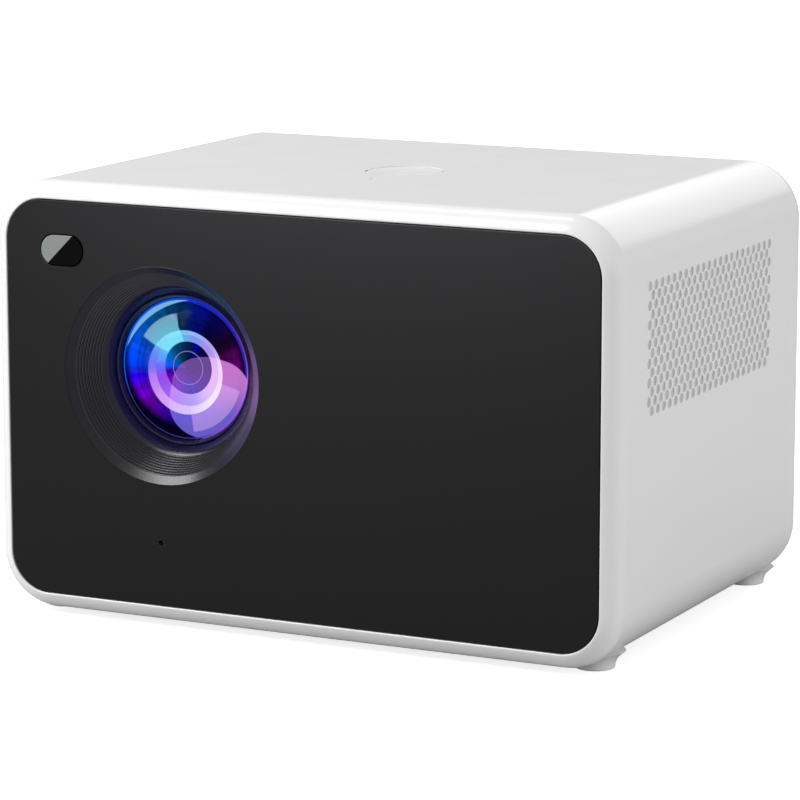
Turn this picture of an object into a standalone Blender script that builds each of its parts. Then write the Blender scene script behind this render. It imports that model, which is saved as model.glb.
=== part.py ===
"""Home projector, built as an assembly of separate pieces.

Metres, +Z up, the lens looks along -Y, +X is to the right when the lens faces the viewer.
The origin is at the bottom centre: the soles of the four feet stand on Z = 0.
"""
import math

import bmesh
import bpy
from mathutils import Quaternion, Vector

MM = 0.001

# ---- Driving dimensions -------------------------------------------------------------------
WIDTH, DEPTH, HEIGHT = 240.0 * MM, 176.1 * MM, 153.6 * MM   # case without its feet
FOOT_DROP = 2.2 * MM                                        # feet below the case
CORNER_RADIUS = 20.6 * MM                                   # outline seen from the front
FRONT_ROUND, BACK_ROUND = 8.2 * MM, 11.5 * MM               # rims round the two ends
WALL = 2.5 * MM
GAP = 0.3 * MM                                              # between neighbouring pieces

FRONT_Y, BACK_Y = -DEPTH / 2, DEPTH / 2
CASE_BOTTOM = FOOT_DROP
CASE_TOP = CASE_BOTTOM + HEIGHT
CASE_MID = CASE_BOTTOM + HEIGHT / 2

# Front panel, set into the white rim.
RIM = 6.1 * MM
PANEL_RADIUS = 14.0 * MM
PANEL_SINK = 0.5 * MM
PANEL_THICK = 2.6 * MM
PANEL_Y = FRONT_Y + PANEL_SINK
LEDGE = 4.6 * MM
FRONT_LEDGE_Y = PANEL_Y + PANEL_THICK + GAP

# Rear panel, set into the wider rounded back.
BACK_RIM = 9.0 * MM
BACK_PANEL_RADIUS = 12.0 * MM
BACK_PANEL_SINK = 0.8 * MM
BACK_PANEL_THICK = 2.5 * MM
BACK_PANEL_Y = BACK_Y - BACK_PANEL_SINK
BACK_LEDGE_Y = BACK_PANEL_Y - BACK_PANEL_THICK - GAP
BACK_LEDGE_SIZE = (206 * MM, 128 * MM)

# Lens axis, parallel to Y. Heights of turned lens pieces count forward from PANEL_Y.
LENS_X, LENS_Z = -52.0 * MM, CASE_MID + 11.3 * MM
HOOD_RADIUS = 39.0 * MM
HOOD_THROAT = 27.2 * MM
BARREL_RADIUS = 26.8 * MM
BARREL_FRONT, BARREL_BACK = -16.9 * MM, -50.0 * MM
GLASS_RADIUS = 25.3 * MM
GLASS_RIM = -17.3 * MM
GLASS_BULGE = 8.5 * MM
LUG_FRONT, LUG_BACK = -44.0 * MM, -49.0 * MM
BRACKET_FRONT, BRACKET_BACK = -22.3 * MM, -24.3 * MM
ROD_OFFSET = 34.0 * MM
ROD_RADIUS = 1.5 * MM
RUNNING_GAP = 0.35 * MM
FOCUS_SCREW_X = LENS_X + 39.0 * MM
FOCUS_MOTOR_BACK = -38.0 * MM

# Optical engine: light runs along -X from the lamp to the mirror, then along -Y to the lens.
ENGINE_Y = 20.0 * MM
ENGINE_LOW = Vector((-98 * MM, -31 * MM, 52 * MM))
ENGINE_HIGH = Vector((58 * MM, 71 * MM, 128 * MM))
ENGINE_WALL = 2.0 * MM
ENGINE_WINDOW = 24.0 * MM

# Round push button on the top, status light in front of it.
BUTTON_X, BUTTON_Y = 1.5 * MM, FRONT_Y + 83.0 * MM
BUTTON_RADIUS = 13.65 * MM
BUTTON_CLEAR = 0.35 * MM
STATUS_X, STATUS_Y = 1.0 * MM, FRONT_Y + 58.0 * MM

# Sensor window and microphone hole in the front panel.
SENSOR_SIZE = (17.5 * MM, 11.4 * MM)
SENSOR_X, SENSOR_Z = -91.35 * MM, CASE_MID + 52.9 * MM
MIC_X, MIC_Z = -52.8 * MM, CASE_MID - 48.0 * MM
MIC_HOLE = 0.65 * MM

# Side grilles: rows of openings high on both side walls.
GRILLE_ROWS = 14
GRILLE_PITCH = 3.265 * MM
GRILLE_TOP = CASE_MID + 51.1 * MM
GRILLE_FRONT, GRILLE_BACK = FRONT_Y + 25.5 * MM, FRONT_Y + 138.7 * MM
GRILLE_SLOT = 1.8 * MM

# Underside.
BASE_SIZE = (176 * MM, 116 * MM)
BASE_LEDGE = 8.0 * MM
BASE_SCREW_AT = (83.5 * MM, 53.5 * MM)
BASE_SLOTS, BASE_SLOT_START, BASE_SLOT_PITCH = 7, 30 * MM, 6 * MM
BASE_SLOT_WIDE, BASE_SLOT_LONG = 2.6 * MM, 70 * MM
TRIPOD_HOLE = 3.15 * MM
FOOT_X = 104.0 * MM
FOOT_FRONT_Y, FOOT_BACK_Y = FRONT_Y + 20.5 * MM, BACK_Y - 17.0 * MM
FOOT_RADIUS, FOOT_FLARE_RADIUS = 7.0 * MM, 10.2 * MM
FOOT_FLARE_TOP, FOOT_STEPS = 5.0 * MM, 3

# Boards and the sockets at the back.
BOARD_Z, BOARD_THICK = 18.0 * MM, 1.6 * MM
BOARD_TOP = BOARD_Z + BOARD_THICK
SOCKET_Z = BOARD_TOP + GAP
SOCKET_FACE_Y = BACK_PANEL_Y - 0.5 * MM
HDMI_X = (-86 * MM, -62 * MM)
USB_X = (-40 * MM, -21 * MM)
AUDIO_X = -5 * MM
HDMI_SIZE = (15.6 * MM, 12.0 * MM, 6.4 * MM)
USB_SIZE = (14.6 * MM, 13.0 * MM, 7.4 * MM)
AUDIO_SIZE = (8.0 * MM, 12.0 * MM, 7.4 * MM)
INLET_X, INLET_Z = 76 * MM, 36 * MM
INLET_SIZE = (28 * MM, 24 * MM, 19 * MM)
REAR_SCREW_AT = (106.7 * MM, 50.0 * MM)
REAR_SLOT_ROWS, REAR_SLOT_PITCH, REAR_SLOT_LOW = 8, 6.0 * MM, CASE_MID + 8 * MM
REAR_SLOT_X, REAR_SLOT_LONG, REAR_SLOT_TALL = 48 * MM, 68 * MM, 2.6 * MM

# Fan, on an axis parallel to X.
FAN_Y, FAN_Z = 20.0 * MM, 96.0 * MM
FAN_SIZE, FAN_X0, FAN_X1 = 60 * MM, 88 * MM, 103 * MM
FAN_BLADES = 7
FIN_COUNT, FIN_THICK = 9, 2.0 * MM

# ---- Scene and collections ----------------------------------------------------------------
for old in list(bpy.data.objects):
    bpy.data.objects.remove(old, do_unlink=True)

PARTS = bpy.data.collections.new("home_projector")
CUTTERS = bpy.data.collections.new("cutters")
for group in (PARTS, CUTTERS):
    bpy.context.scene.collection.children.link(group)


def material(name, colour, roughness, metallic=0.0):
    made = bpy.data.materials.new(name)
    made.use_nodes = True
    shader = made.node_tree.nodes["Principled BSDF"]
    shader.inputs["Base Color"].default_value = (*colour, 1.0)
    shader.inputs["Roughness"].default_value = roughness
    shader.inputs["Metallic"].default_value = metallic
    made.diffuse_color = (*colour, 1.0)
    return made


WHITE = material("white_gloss_case", (0.82, 0.83, 0.84), 0.25)
CHARCOAL = material("charcoal_panel", (0.035, 0.035, 0.036), 0.45)
BLACK = material("black_plastic", (0.015, 0.015, 0.017), 0.5)
GLOSS_BLACK = material("black_sensor_window", (0.01, 0.01, 0.012), 0.08)
GLASS = material("lens_glass", (0.75, 0.8, 0.95), 0.03)
STEEL = material("bright_steel", (0.62, 0.62, 0.64), 0.3, 1.0)
ALUMINIUM = material("aluminium", (0.72, 0.73, 0.75), 0.4, 1.0)
MIRROR = material("mirror_silver", (0.9, 0.9, 0.92), 0.04, 1.0)
BRASS = material("brass", (0.75, 0.58, 0.28), 0.35, 1.0)
BOARD = material("green_board", (0.03, 0.16, 0.08), 0.5)
RUBBER = material("grey_rubber", (0.25, 0.25, 0.26), 0.7)
SCREEN = material("dark_screen", (0.05, 0.05, 0.07), 0.15)


# ---- Shape tools --------------------------------------------------------------------------
def add(name, mesh, finish=None, location=(0, 0, 0), turn=(0, 0, 0)):
    """Put a mesh in the scene: a part when it has a finish, otherwise a cutter."""
    made = bpy.data.objects.new(name, mesh)
    made.location = location
    made.rotation_euler = turn
    if finish:
        mesh.materials.append(finish)
        PARTS.objects.link(made)
    else:
        made.hide_render = True
        made.display_type = "WIRE"
        CUTTERS.objects.link(made)
    return made


def to_mesh(name, work):
    mesh = bpy.data.meshes.new(name)
    work.to_mesh(mesh)
    work.free()
    return mesh


def block(name, low, high, finish=None, radius=0.0, axis=1, segments=4, turn=(0, 0, 0)):
    """A box between two corners, with the four edges along one axis rounded."""
    low, high = Vector(low), Vector(high)
    work = bmesh.new()
    bmesh.ops.create_cube(work, size=1.0)
    bmesh.ops.scale(work, vec=high - low, verts=work.verts)
    if radius:
        edges = [e for e in work.edges
                 if abs((e.verts[0].co - e.verts[1].co).normalized()[axis]) > 0.9]
        bmesh.ops.bevel(work, geom=edges, offset=radius, segments=segments, profile=0.5,
                        affect="EDGES")
    return add(name, to_mesh(name, work), finish, (low + high) / 2, turn)


def rod(name, radius, start, end, finish=None, segments=24):
    """A cylinder from one point to another."""
    start, end = Vector(start), Vector(end)
    work = bmesh.new()
    bmesh.ops.create_cone(work, cap_ends=True, segments=segments, radius1=radius,
                          radius2=radius, depth=(end - start).length)
    mesh = to_mesh(name, work)
    mesh.shade_smooth()
    mesh.set_sharp_from_angle(angle=math.radians(40))
    turn = (end - start).to_track_quat("Z", "Y").to_euler()
    return add(name, mesh, finish, (start + end) / 2, turn)


LOOK_FORWARD = (math.pi / 2, 0, 0)    # a turned piece's height axis along -Y
LOOK_RIGHT = (0, math.pi / 2, 0)      # along +X
LENS_ORIGIN = (LENS_X, PANEL_Y, LENS_Z)


def turned(name, profile, finish=None, location=(0, 0, 0), turn=(0, 0, 0), ring=False,
           segments=32):
    """A turned piece: (radius, height) points that run down its outer side."""
    mesh = bpy.data.meshes.new(name)
    points = [(radius, 0, height) for radius, height in profile]
    edges = [(i, i + 1) for i in range(len(points) - 1)]
    if ring:
        edges.append((len(points) - 1, 0))
    mesh.from_pydata(points, edges, [])
    made = add(name, mesh, finish, location, turn)
    screw = made.modifiers.new("turn", "SCREW")
    screw.axis = "Z"
    screw.angle = math.tau
    screw.steps = screw.render_steps = segments
    screw.use_merge_vertices = True
    screw.merge_threshold = 1e-5
    return made


def arc_heights(radius, bulge, steps):
    """(radius, height above the rim) down a spherical cap, from its crown to its rim."""
    sphere = (radius * radius + bulge * bulge) / (2 * bulge)
    radii = [radius * i / steps for i in range(steps + 1)]
    return [(r, math.sqrt(sphere * sphere - r * r) - (sphere - bulge)) for r in radii]


def boolean(target, operand, operation):
    step = target.modifiers.new(operand.name, "BOOLEAN")
    step.operation = operation
    step.solver = "EXACT"
    step.object = operand
    return target


def cut(target, *tools):
    for tool in tools:
        boolean(target, tool, "DIFFERENCE")
    return target


def join(target, *pieces):
    for piece in pieces:
        boolean(target, piece, "UNION")
    return target


def group_blocks(name, corners):
    """One cutter made of several boxes that stay clear of each other."""
    work = bmesh.new()
    for low, high in corners:
        low, high = Vector(low), Vector(high)
        made = bmesh.ops.create_cube(work, size=1.0)["verts"]
        bmesh.ops.scale(work, vec=high - low, verts=made)
        bmesh.ops.translate(work, vec=(low + high) / 2, verts=made)
    return add(name, to_mesh(name, work))


def end_frame(name, margin, radius, y0, y1):
    """A cutter for the opening at one end of the case, a margin inside its outline."""
    return block(name, (-WIDTH / 2 + margin, y0, CASE_BOTTOM + margin),
                 (WIDTH / 2 - margin, y1, CASE_TOP - margin), None, radius)


def case_body(name, grow, finish=None):
    """The outer form of the case: long edges rounded first, then the rims at both ends."""
    work = bmesh.new()
    bmesh.ops.create_cube(work, size=1.0)
    size = Vector((WIDTH, DEPTH, HEIGHT)) + Vector((2 * grow,) * 3)
    bmesh.ops.scale(work, vec=size, verts=work.verts)
    long_edges = [e for e in work.edges
                  if abs(e.verts[0].co.y - e.verts[1].co.y) > size.y / 2]
    bmesh.ops.bevel(work, geom=long_edges, offset=CORNER_RADIUS + grow, segments=8,
                    profile=0.5, affect="EDGES")
    for side, rounding in ((-1, FRONT_ROUND), (1, BACK_ROUND)):
        end = side * size.y / 2
        rim = [e for e in work.edges if all(abs(v.co.y - end) < 1e-6 for v in e.verts)]
        bmesh.ops.bevel(work, geom=rim, offset=rounding + grow, segments=4, profile=0.5,
                        affect="EDGES")
    mesh = to_mesh(name, work)
    mesh.shade_smooth()
    mesh.set_sharp_from_angle(angle=math.radians(50))
    return add(name, mesh, finish, (0, 0, CASE_MID))


# ---- Case ---------------------------------------------------------------------------------
def grille_rows():
    half = GRILLE_SLOT / 2
    rows = [GRILLE_TOP - i * GRILLE_PITCH for i in range(GRILLE_ROWS)]
    return [((-WIDTH, GRILLE_FRONT, z - half), (WIDTH, GRILLE_BACK, z + half)) for z in rows]


def foot_places():
    return {"front_left": (-FOOT_X, FOOT_FRONT_Y), "front_right": (FOOT_X, FOOT_FRONT_Y),
            "back_left": (-FOOT_X, FOOT_BACK_Y), "back_right": (FOOT_X, FOOT_BACK_Y)}


def corner_places(half_x, half_other):
    return [(sx * half_x, sy * half_other) for sy in (-1, 1) for sx in (-1, 1)]


def make_sleeve():
    sleeve = case_body("case_sleeve", 0.0, WHITE)
    inner = CORNER_RADIUS - WALL
    cavity = end_frame("cavity", WALL, inner, FRONT_LEDGE_Y + LEDGE, BACK_LEDGE_Y - LEDGE)
    front = end_frame("front_opening", RIM, PANEL_RADIUS, FRONT_Y - 10 * MM, FRONT_LEDGE_Y)
    front_way = end_frame("front_way", RIM + 6 * MM, 8 * MM, FRONT_Y - 10 * MM,
                          FRONT_LEDGE_Y + 2 * LEDGE)
    back = end_frame("back_opening", BACK_RIM, BACK_PANEL_RADIUS, BACK_LEDGE_Y,
                     BACK_Y + 10 * MM)
    half_x, half_z = BACK_LEDGE_SIZE[0] / 2, BACK_LEDGE_SIZE[1] / 2
    back_way = block("back_way", (-half_x, BACK_LEDGE_Y - 2 * LEDGE, CASE_MID - half_z),
                     (half_x, BACK_Y + 10 * MM, CASE_MID + half_z), None, 6 * MM)
    cut(sleeve, cavity, front, front_way, back, back_way)

    # A ledge round the underside opening carries the base plate's screws.
    bx, by = BASE_SIZE[0] / 2, BASE_SIZE[1] / 2
    ledge = block("base_ledge", (-bx - 4 * MM, -by - 4 * MM, CASE_BOTTOM + 1 * MM),
                  (bx + 4 * MM, by + 4 * MM, CASE_BOTTOM + WALL + 4.3 * MM))
    join(sleeve, ledge)
    plate_seat = block("plate_seat", (-bx, -by, -5 * MM), (bx, by, CASE_BOTTOM + WALL),
                       None, 6 * MM, 2)
    way = block("base_way", (-bx + BASE_LEDGE, -by + BASE_LEDGE, -5 * MM),
                (bx - BASE_LEDGE, by - BASE_LEDGE, 20 * MM), None, 4 * MM, 2)
    cut(sleeve, plate_seat, way, group_blocks("side_slots", grille_rows()))

    button = rod("button_hole", BUTTON_RADIUS + BUTTON_CLEAR, (BUTTON_X, BUTTON_Y, CASE_TOP - 5 * MM),
                 (BUTTON_X, BUTTON_Y, CASE_TOP + 5 * MM), None, 28)
    status = rod("status_hole", 1.4 * MM, (STATUS_X, STATUS_Y, CASE_TOP - 5 * MM),
                 (STATUS_X, STATUS_Y, CASE_TOP + 5 * MM), None, 12)
    cut(sleeve, button, status)
    for place, (x, y) in foot_places().items():
        cut(sleeve, rod("foot_hole_" + place, 4.3 * MM, (x, y, -1 * MM), (x, y, 12 * MM), None, 12))
    for i, (x, y) in enumerate(corner_places(*BASE_SCREW_AT)):
        cut(sleeve, rod(f"base_thread_{i}", 1.55 * MM, (x, y, 0), (x, y, 20 * MM), None, 10))
    for i, (x, z) in enumerate(corner_places(*REAR_SCREW_AT)):
        cut(sleeve, rod(f"rear_thread_{i}", 1.45 * MM, (x, BACK_LEDGE_Y - 8 * MM, CASE_MID + z),
                        (x, BACK_Y, CASE_MID + z), None, 10))


def make_front_panel():
    half_x, half_z = WIDTH / 2 - RIM - GAP, HEIGHT / 2 - RIM - GAP
    panel = block("front_panel", (-half_x, PANEL_Y, CASE_MID - half_z),
                  (half_x, PANEL_Y + PANEL_THICK, CASE_MID + half_z), CHARCOAL,
                  PANEL_RADIUS - GAP, 1, 6)
    before, behind = PANEL_Y - 10 * MM, PANEL_Y + 10 * MM
    hood = rod("hood_hole", HOOD_RADIUS + GAP, (LENS_X, before, LENS_Z), (LENS_X, behind, LENS_Z),
               None, 44)
    sx, sz = SENSOR_SIZE[0] / 2, SENSOR_SIZE[1] / 2
    sensor = block("sensor_hole", (SENSOR_X - sx, before, SENSOR_Z - sz),
                   (SENSOR_X + sx, behind, SENSOR_Z + sz), None, sz - 0.02 * MM, 1, 8)
    mic = rod("mic_hole", MIC_HOLE, (MIC_X, before, MIC_Z), (MIC_X, behind, MIC_Z), None, 12)
    cut(panel, hood, sensor, mic)


def socket_opening(name, x, size):
    clear = 0.4 * MM
    return block(name, (x - size[0] / 2 - clear, BACK_PANEL_Y - 10 * MM, SOCKET_Z - clear),
                 (x + size[0] / 2 + clear, BACK_PANEL_Y + 10 * MM, SOCKET_Z + size[2] + clear))


def make_rear_panel():
    half_x, half_z = WIDTH / 2 - BACK_RIM - GAP, HEIGHT / 2 - BACK_RIM - GAP
    panel = block("rear_panel", (-half_x, BACK_PANEL_Y - BACK_PANEL_THICK, CASE_MID - half_z),
                  (half_x, BACK_PANEL_Y, CASE_MID + half_z), CHARCOAL,
                  BACK_PANEL_RADIUS - GAP, 1, 5)
    slots = []
    for row in range(REAR_SLOT_ROWS):
        z = REAR_SLOT_LOW + row * REAR_SLOT_PITCH
        slots += [((x - REAR_SLOT_LONG / 2, BACK_PANEL_Y - 10 * MM, z - REAR_SLOT_TALL / 2),
                   (x + REAR_SLOT_LONG / 2, BACK_PANEL_Y + 10 * MM, z + REAR_SLOT_TALL / 2))
                  for x in (-REAR_SLOT_X, REAR_SLOT_X)]
    cut(panel, group_blocks("rear_slots", slots))
    for i, x in enumerate(HDMI_X):
        cut(panel, socket_opening(f"hdmi_opening_{i}", x, HDMI_SIZE))
    for i, x in enumerate(USB_X):
        cut(panel, socket_opening(f"usb_opening_{i}", x, USB_SIZE))
    cut(panel, socket_opening("audio_opening", AUDIO_X, AUDIO_SIZE))
    wide, tall = INLET_SIZE[0] / 2 + 0.4 * MM, INLET_SIZE[2] / 2 + 0.4 * MM
    cut(panel, block("inlet_opening", (INLET_X - wide, BACK_PANEL_Y - 10 * MM, INLET_Z - tall),
                     (INLET_X + wide, BACK_PANEL_Y + 10 * MM, INLET_Z + tall), None, 3 * MM))
    for i, (x, z) in enumerate(corner_places(*REAR_SCREW_AT)):
        at = Vector((x, BACK_PANEL_Y, CASE_MID + z))
        head = rod(f"rear_sink_{i}", 3.1 * MM, at + Vector((0, -1.5 * MM, 0)),
                   at + Vector((0, 5 * MM, 0)), None, 16)
        shank = rod(f"rear_clear_{i}", 1.6 * MM, at + Vector((0, -8 * MM, 0)),
                    at + Vector((0, 5 * MM, 0)), None, 10)
        cut(panel, head, shank)
        screw_part(f"rear_screw_{i + 1}", at + Vector((0, -1.2 * MM, 0)), (-math.pi / 2, 0, 0),
                   2.7 * MM, 1.1 * MM, 1.1 * MM, 7 * MM)


def screw_part(name, seat, turn, head_radius, head_height, shank_radius, shank_length):
    """A screw standing on its seat: the head above it along local Z, the shank below."""
    profile = [(0, head_height), (head_radius * 0.8, head_height), (head_radius, head_height * 0.6),
               (head_radius, 0), (shank_radius, 0), (shank_radius, -shank_length), (0, -shank_length)]
    turned(name, profile, STEEL, seat, turn, segments=8)


def make_base():
    bx, by = BASE_SIZE[0] / 2 - GAP, BASE_SIZE[1] / 2 - GAP
    top = CASE_BOTTOM + WALL - GAP
    plate = block("base_plate", (-bx, -by, CASE_BOTTOM), (bx, by, top), WHITE, 5.7 * MM, 2)
    join(plate, rod("tripod_boss", 9 * MM, (0, 0, CASE_BOTTOM + 1 * MM), (0, 0, 12 * MM), None, 24))
    cut(plate, rod("tripod_seat", 5.4 * MM, (0, 0, -5 * MM), (0, 0, 20 * MM), None, 24))
    slots = [((x - BASE_SLOT_WIDE / 2, -BASE_SLOT_LONG / 2, -5 * MM),
              (x + BASE_SLOT_WIDE / 2, BASE_SLOT_LONG / 2, 20 * MM))
             for x in [side * (BASE_SLOT_START + BASE_SLOT_PITCH * i)
                       for side in (-1, 1) for i in range(BASE_SLOTS)]]
    cut(plate, group_blocks("base_slots", slots))
    for i, (x, y) in enumerate(corner_places(*BASE_SCREW_AT)):
        cut(plate, rod(f"base_sink_{i}", 3.3 * MM, (x, y, -5 * MM), (x, y, CASE_BOTTOM + 1.4 * MM),
                       None, 16),
            rod(f"base_clear_{i}", 1.7 * MM, (x, y, -5 * MM), (x, y, 20 * MM), None, 10))
        screw_part(f"base_screw_{i + 1}", (x, y, CASE_BOTTOM + 1.2 * MM), (math.pi, 0, 0),
                   2.8 * MM, 1.1 * MM, 1.2 * MM, 6 * MM)
    turned("tripod_insert", [(5 * MM, 11.5 * MM), (5 * MM, CASE_BOTTOM + 0.2 * MM),
                             (TRIPOD_HOLE, CASE_BOTTOM + 0.2 * MM), (TRIPOD_HOLE, 11.5 * MM)],
           BRASS, ring=True, segments=20)


def make_feet():
    """Each foot flares up into the rounded bottom and plugs into the case with a stem."""
    grown = case_body("case_for_feet", GAP)
    for place, (x, y) in foot_places().items():
        profile = [(0, FOOT_FLARE_TOP + 2 * MM), (FOOT_FLARE_RADIUS, FOOT_FLARE_TOP + 2 * MM)]
        for i in range(FOOT_STEPS + 1):
            up = 1 - i / FOOT_STEPS
            profile.append((FOOT_RADIUS + (FOOT_FLARE_RADIUS - FOOT_RADIUS) * up ** 2,
                            0.5 * MM + (FOOT_FLARE_TOP - 0.5 * MM) * up))
        profile += [(FOOT_RADIUS - 0.5 * MM, 0), (0, 0)]
        foot = turned("foot_" + place, profile, WHITE, (x, y, 0), segments=18)
        cut(foot, grown)
        stem = rod("foot_stem_" + place, 4 * MM, (x, y, 0.8 * MM), (x, y, 9 * MM), None, 12)
        join(foot, stem)


# ---- Lens ---------------------------------------------------------------------------------
def make_hood():
    """A ringed funnel from the panel down to the throat that the lens barrel slides in."""
    outer, inner, deep, steps = 34.7 * MM, 28.5 * MM, 12.5 * MM, 3
    profile = [(HOOD_RADIUS, 0.0), (HOOD_RADIUS, -3.2 * MM), (outer + 2.4 * MM, -4 * MM),
               (HOOD_THROAT + 2 * MM, -14.5 * MM), (HOOD_THROAT + 2 * MM, -21.5 * MM),
               (HOOD_THROAT, -21.5 * MM), (HOOD_THROAT, -13.5 * MM), (inner, -deep)]
    for i in range(steps - 1, -1, -1):
        radius = outer + (inner - outer) * i / steps
        back = -1 * MM + (-deep + 1 * MM) * (i + 1) / steps
        front = -1 * MM + (-deep + 1 * MM) * i / steps
        profile += [(radius, back), (radius, front)]
    turned("lens_hood", profile, BLACK, LENS_ORIGIN, LOOK_FORWARD, True, 44)


def lens_point(dx, height, dz):
    return Vector((LENS_X + dx, PANEL_Y - height, LENS_Z + dz))


def make_barrel():
    bore, pocket = 21.4 * MM, GLASS_RADIUS + GAP
    profile = [(BARREL_RADIUS, BARREL_FRONT), (BARREL_RADIUS, BARREL_BACK), (bore, BARREL_BACK),
               (bore, -20 * MM), (pocket, -20 * MM), (pocket, BARREL_FRONT)]
    barrel = turned("lens_barrel", profile, BLACK, LENS_ORIGIN, LOOK_FORWARD, True, 36)
    half = 5 * MM
    arm = block("barrel_lug_arm", lens_point(0, LUG_FRONT, -half),
                lens_point(FOCUS_SCREW_X - LENS_X + half, LUG_BACK, half))
    way = rod("barrel_way", 24.4 * MM, lens_point(0, -30 * MM, 0), lens_point(0, -60 * MM, 0), None, 36)
    cut(arm, way)
    join(barrel, arm)
    upper = cut(block("upper_lug", lens_point(-half, LUG_FRONT, 24 * MM),
                      lens_point(half, LUG_BACK, ROD_OFFSET + half)), way)
    lower = cut(block("lower_lug", lens_point(-half, LUG_FRONT, -ROD_OFFSET - half),
                      lens_point(half, LUG_BACK, -24 * MM)), way)
    join(barrel, upper, lower)
    clear = ROD_RADIUS + RUNNING_GAP
    for name, dx, dz in (("upper", 0, ROD_OFFSET), ("lower", 0, -ROD_OFFSET),
                         ("screw", FOCUS_SCREW_X - LENS_X, 0)):
        cut(barrel, rod("bush_" + name, clear, lens_point(dx, -30 * MM, dz),
                        lens_point(dx, -60 * MM, dz), None, 16))


def make_lenses():
    crown = [(r, GLASS_RIM + h) for r, h in arc_heights(GLASS_RADIUS, GLASS_BULGE, 6)]
    turned("front_lens", crown + [(GLASS_RADIUS, GLASS_RIM - 2.2 * MM), (0, GLASS_RIM - 2.2 * MM)],
           GLASS, LENS_ORIGIN, LOOK_FORWARD, segments=36)
    for name, front, bulge, thick in (("middle_lens", -32 * MM, 4 * MM, 3 * MM),
                                      ("rear_lens", -44 * MM, 3 * MM, 4 * MM)):
        front_cap = [(r, front + h) for r, h in arc_heights(21 * MM, bulge, 4)]
        back_cap = [(r, front - thick - h) for r, h in reversed(arc_heights(21 * MM, 2 * MM, 4))]
        turned(name, front_cap + back_cap, GLASS, LENS_ORIGIN, LOOK_FORWARD, segments=18)
    turned("lens_retaining_ring",
           [(25.6 * MM, -14.5 * MM), (BARREL_RADIUS, -14.9 * MM), (BARREL_RADIUS, -16.6 * MM),
            (25.0 * MM, -16.6 * MM), (25.0 * MM, -15.2 * MM)],
           BLACK, LENS_ORIGIN, LOOK_FORWARD, True, 36)


def make_focus_drive():
    bracket = block("lens_bracket", lens_point(-40 * MM, BRACKET_FRONT, -39 * MM),
                    lens_point(50 * MM, BRACKET_BACK, 39 * MM), BLACK, 4 * MM)
    cut(bracket, rod("bracket_hole", BARREL_RADIUS + 0.8 * MM, lens_point(0, 0, 0),
                     lens_point(0, -40 * MM, 0), None, 32))
    start = BRACKET_BACK - GAP
    end = -(ENGINE_LOW.y - PANEL_Y) + GAP
    for name, side in (("upper", 1), ("lower", -1)):
        rod("guide_rod_" + name, ROD_RADIUS, lens_point(0, start, side * ROD_OFFSET),
            lens_point(0, end, side * ROD_OFFSET), STEEL, 12)
    dx = FOCUS_SCREW_X - LENS_X
    turned("focus_motor", [(0, start), (7 * MM, start), (7.5 * MM, start - 0.5 * MM),
                           (7.5 * MM, FOCUS_MOTOR_BACK + 0.5 * MM), (7 * MM, FOCUS_MOTOR_BACK),
                           (0, FOCUS_MOTOR_BACK)],
           STEEL, lens_point(dx, 0, 0), LOOK_FORWARD, segments=20)
    rod("focus_screw", ROD_RADIUS, lens_point(dx, FOCUS_MOTOR_BACK - GAP, 0),
        lens_point(dx, end, 0), BRASS, 12)


def make_sensor_and_microphone():
    sx, sz = SENSOR_SIZE[0] / 2 - GAP, SENSOR_SIZE[1] / 2 - GAP
    block("sensor_window", (SENSOR_X - sx, PANEL_Y - 0.1 * MM, SENSOR_Z - sz),
          (SENSOR_X + sx, PANEL_Y + PANEL_THICK, SENSOR_Z + sz), GLOSS_BLACK, sz - 0.02 * MM, 1, 8)
    back = PANEL_Y + PANEL_THICK
    block("remote_receiver", (SENSOR_X - 6 * MM, back + 1 * MM, SENSOR_Z - 4 * MM),
          (SENSOR_X + 6 * MM, back + 6 * MM, SENSOR_Z + 4 * MM), BLACK)
    rod("microphone", 3 * MM, (MIC_X, back + 0.5 * MM, MIC_Z), (MIC_X, back + 4.5 * MM, MIC_Z),
        ALUMINIUM, 16)


# ---- Power button -------------------------------------------------------------------------
def make_button():
    under = CASE_TOP - WALL
    dish = [(BUTTON_RADIUS * i / 4, CASE_TOP - 1.0 * MM + 0.7 * MM * (i / 4) ** 2) for i in range(4)]
    stem_end = under - 5.8 * MM
    profile = dish + [(BUTTON_RADIUS - 0.5 * MM, CASE_TOP - 0.3 * MM),
                      (BUTTON_RADIUS, CASE_TOP - 0.8 * MM), (BUTTON_RADIUS, under - 0.5 * MM),
                      (BUTTON_RADIUS + 1.9 * MM, under - 0.5 * MM),
                      (BUTTON_RADIUS + 1.9 * MM, under - 2.0 * MM), (3 * MM, under - 2.0 * MM),
                      (3 * MM, stem_end), (0, stem_end)]
    at = (BUTTON_X, BUTTON_Y, 0)
    turned("power_button", profile, WHITE, at, segments=28)
    dome_top, dome_base = stem_end - GAP, stem_end - 4.2 * MM
    turned("button_dome",
           [(0, dome_top), (3 * MM, dome_top), (5.2 * MM, dome_base + 1 * MM), (7 * MM, dome_base + 0.8 * MM),
            (7 * MM, dome_base), (4.4 * MM, dome_base), (2.4 * MM, dome_top - 1 * MM),
            (0, dome_top - 1 * MM)],
           RUBBER, at, segments=14)
    board_top = dome_base - GAP
    block("button_board", (BUTTON_X - 20 * MM, BUTTON_Y - 28 * MM, board_top - 1.2 * MM),
          (BUTTON_X + 20 * MM, BUTTON_Y + 14 * MM, board_top), BOARD, 2 * MM, 2, 2)
    turned("status_light", [(0, CASE_TOP - 0.1 * MM), (1.1 * MM, CASE_TOP - 0.1 * MM),
                            (1.1 * MM, under - 0.4 * MM), (2 * MM, under - 0.4 * MM),
                            (2 * MM, board_top + 0.6 * MM), (0, board_top + 0.6 * MM)],
           GLASS, (STATUS_X, STATUS_Y, 0), segments=12)


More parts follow.
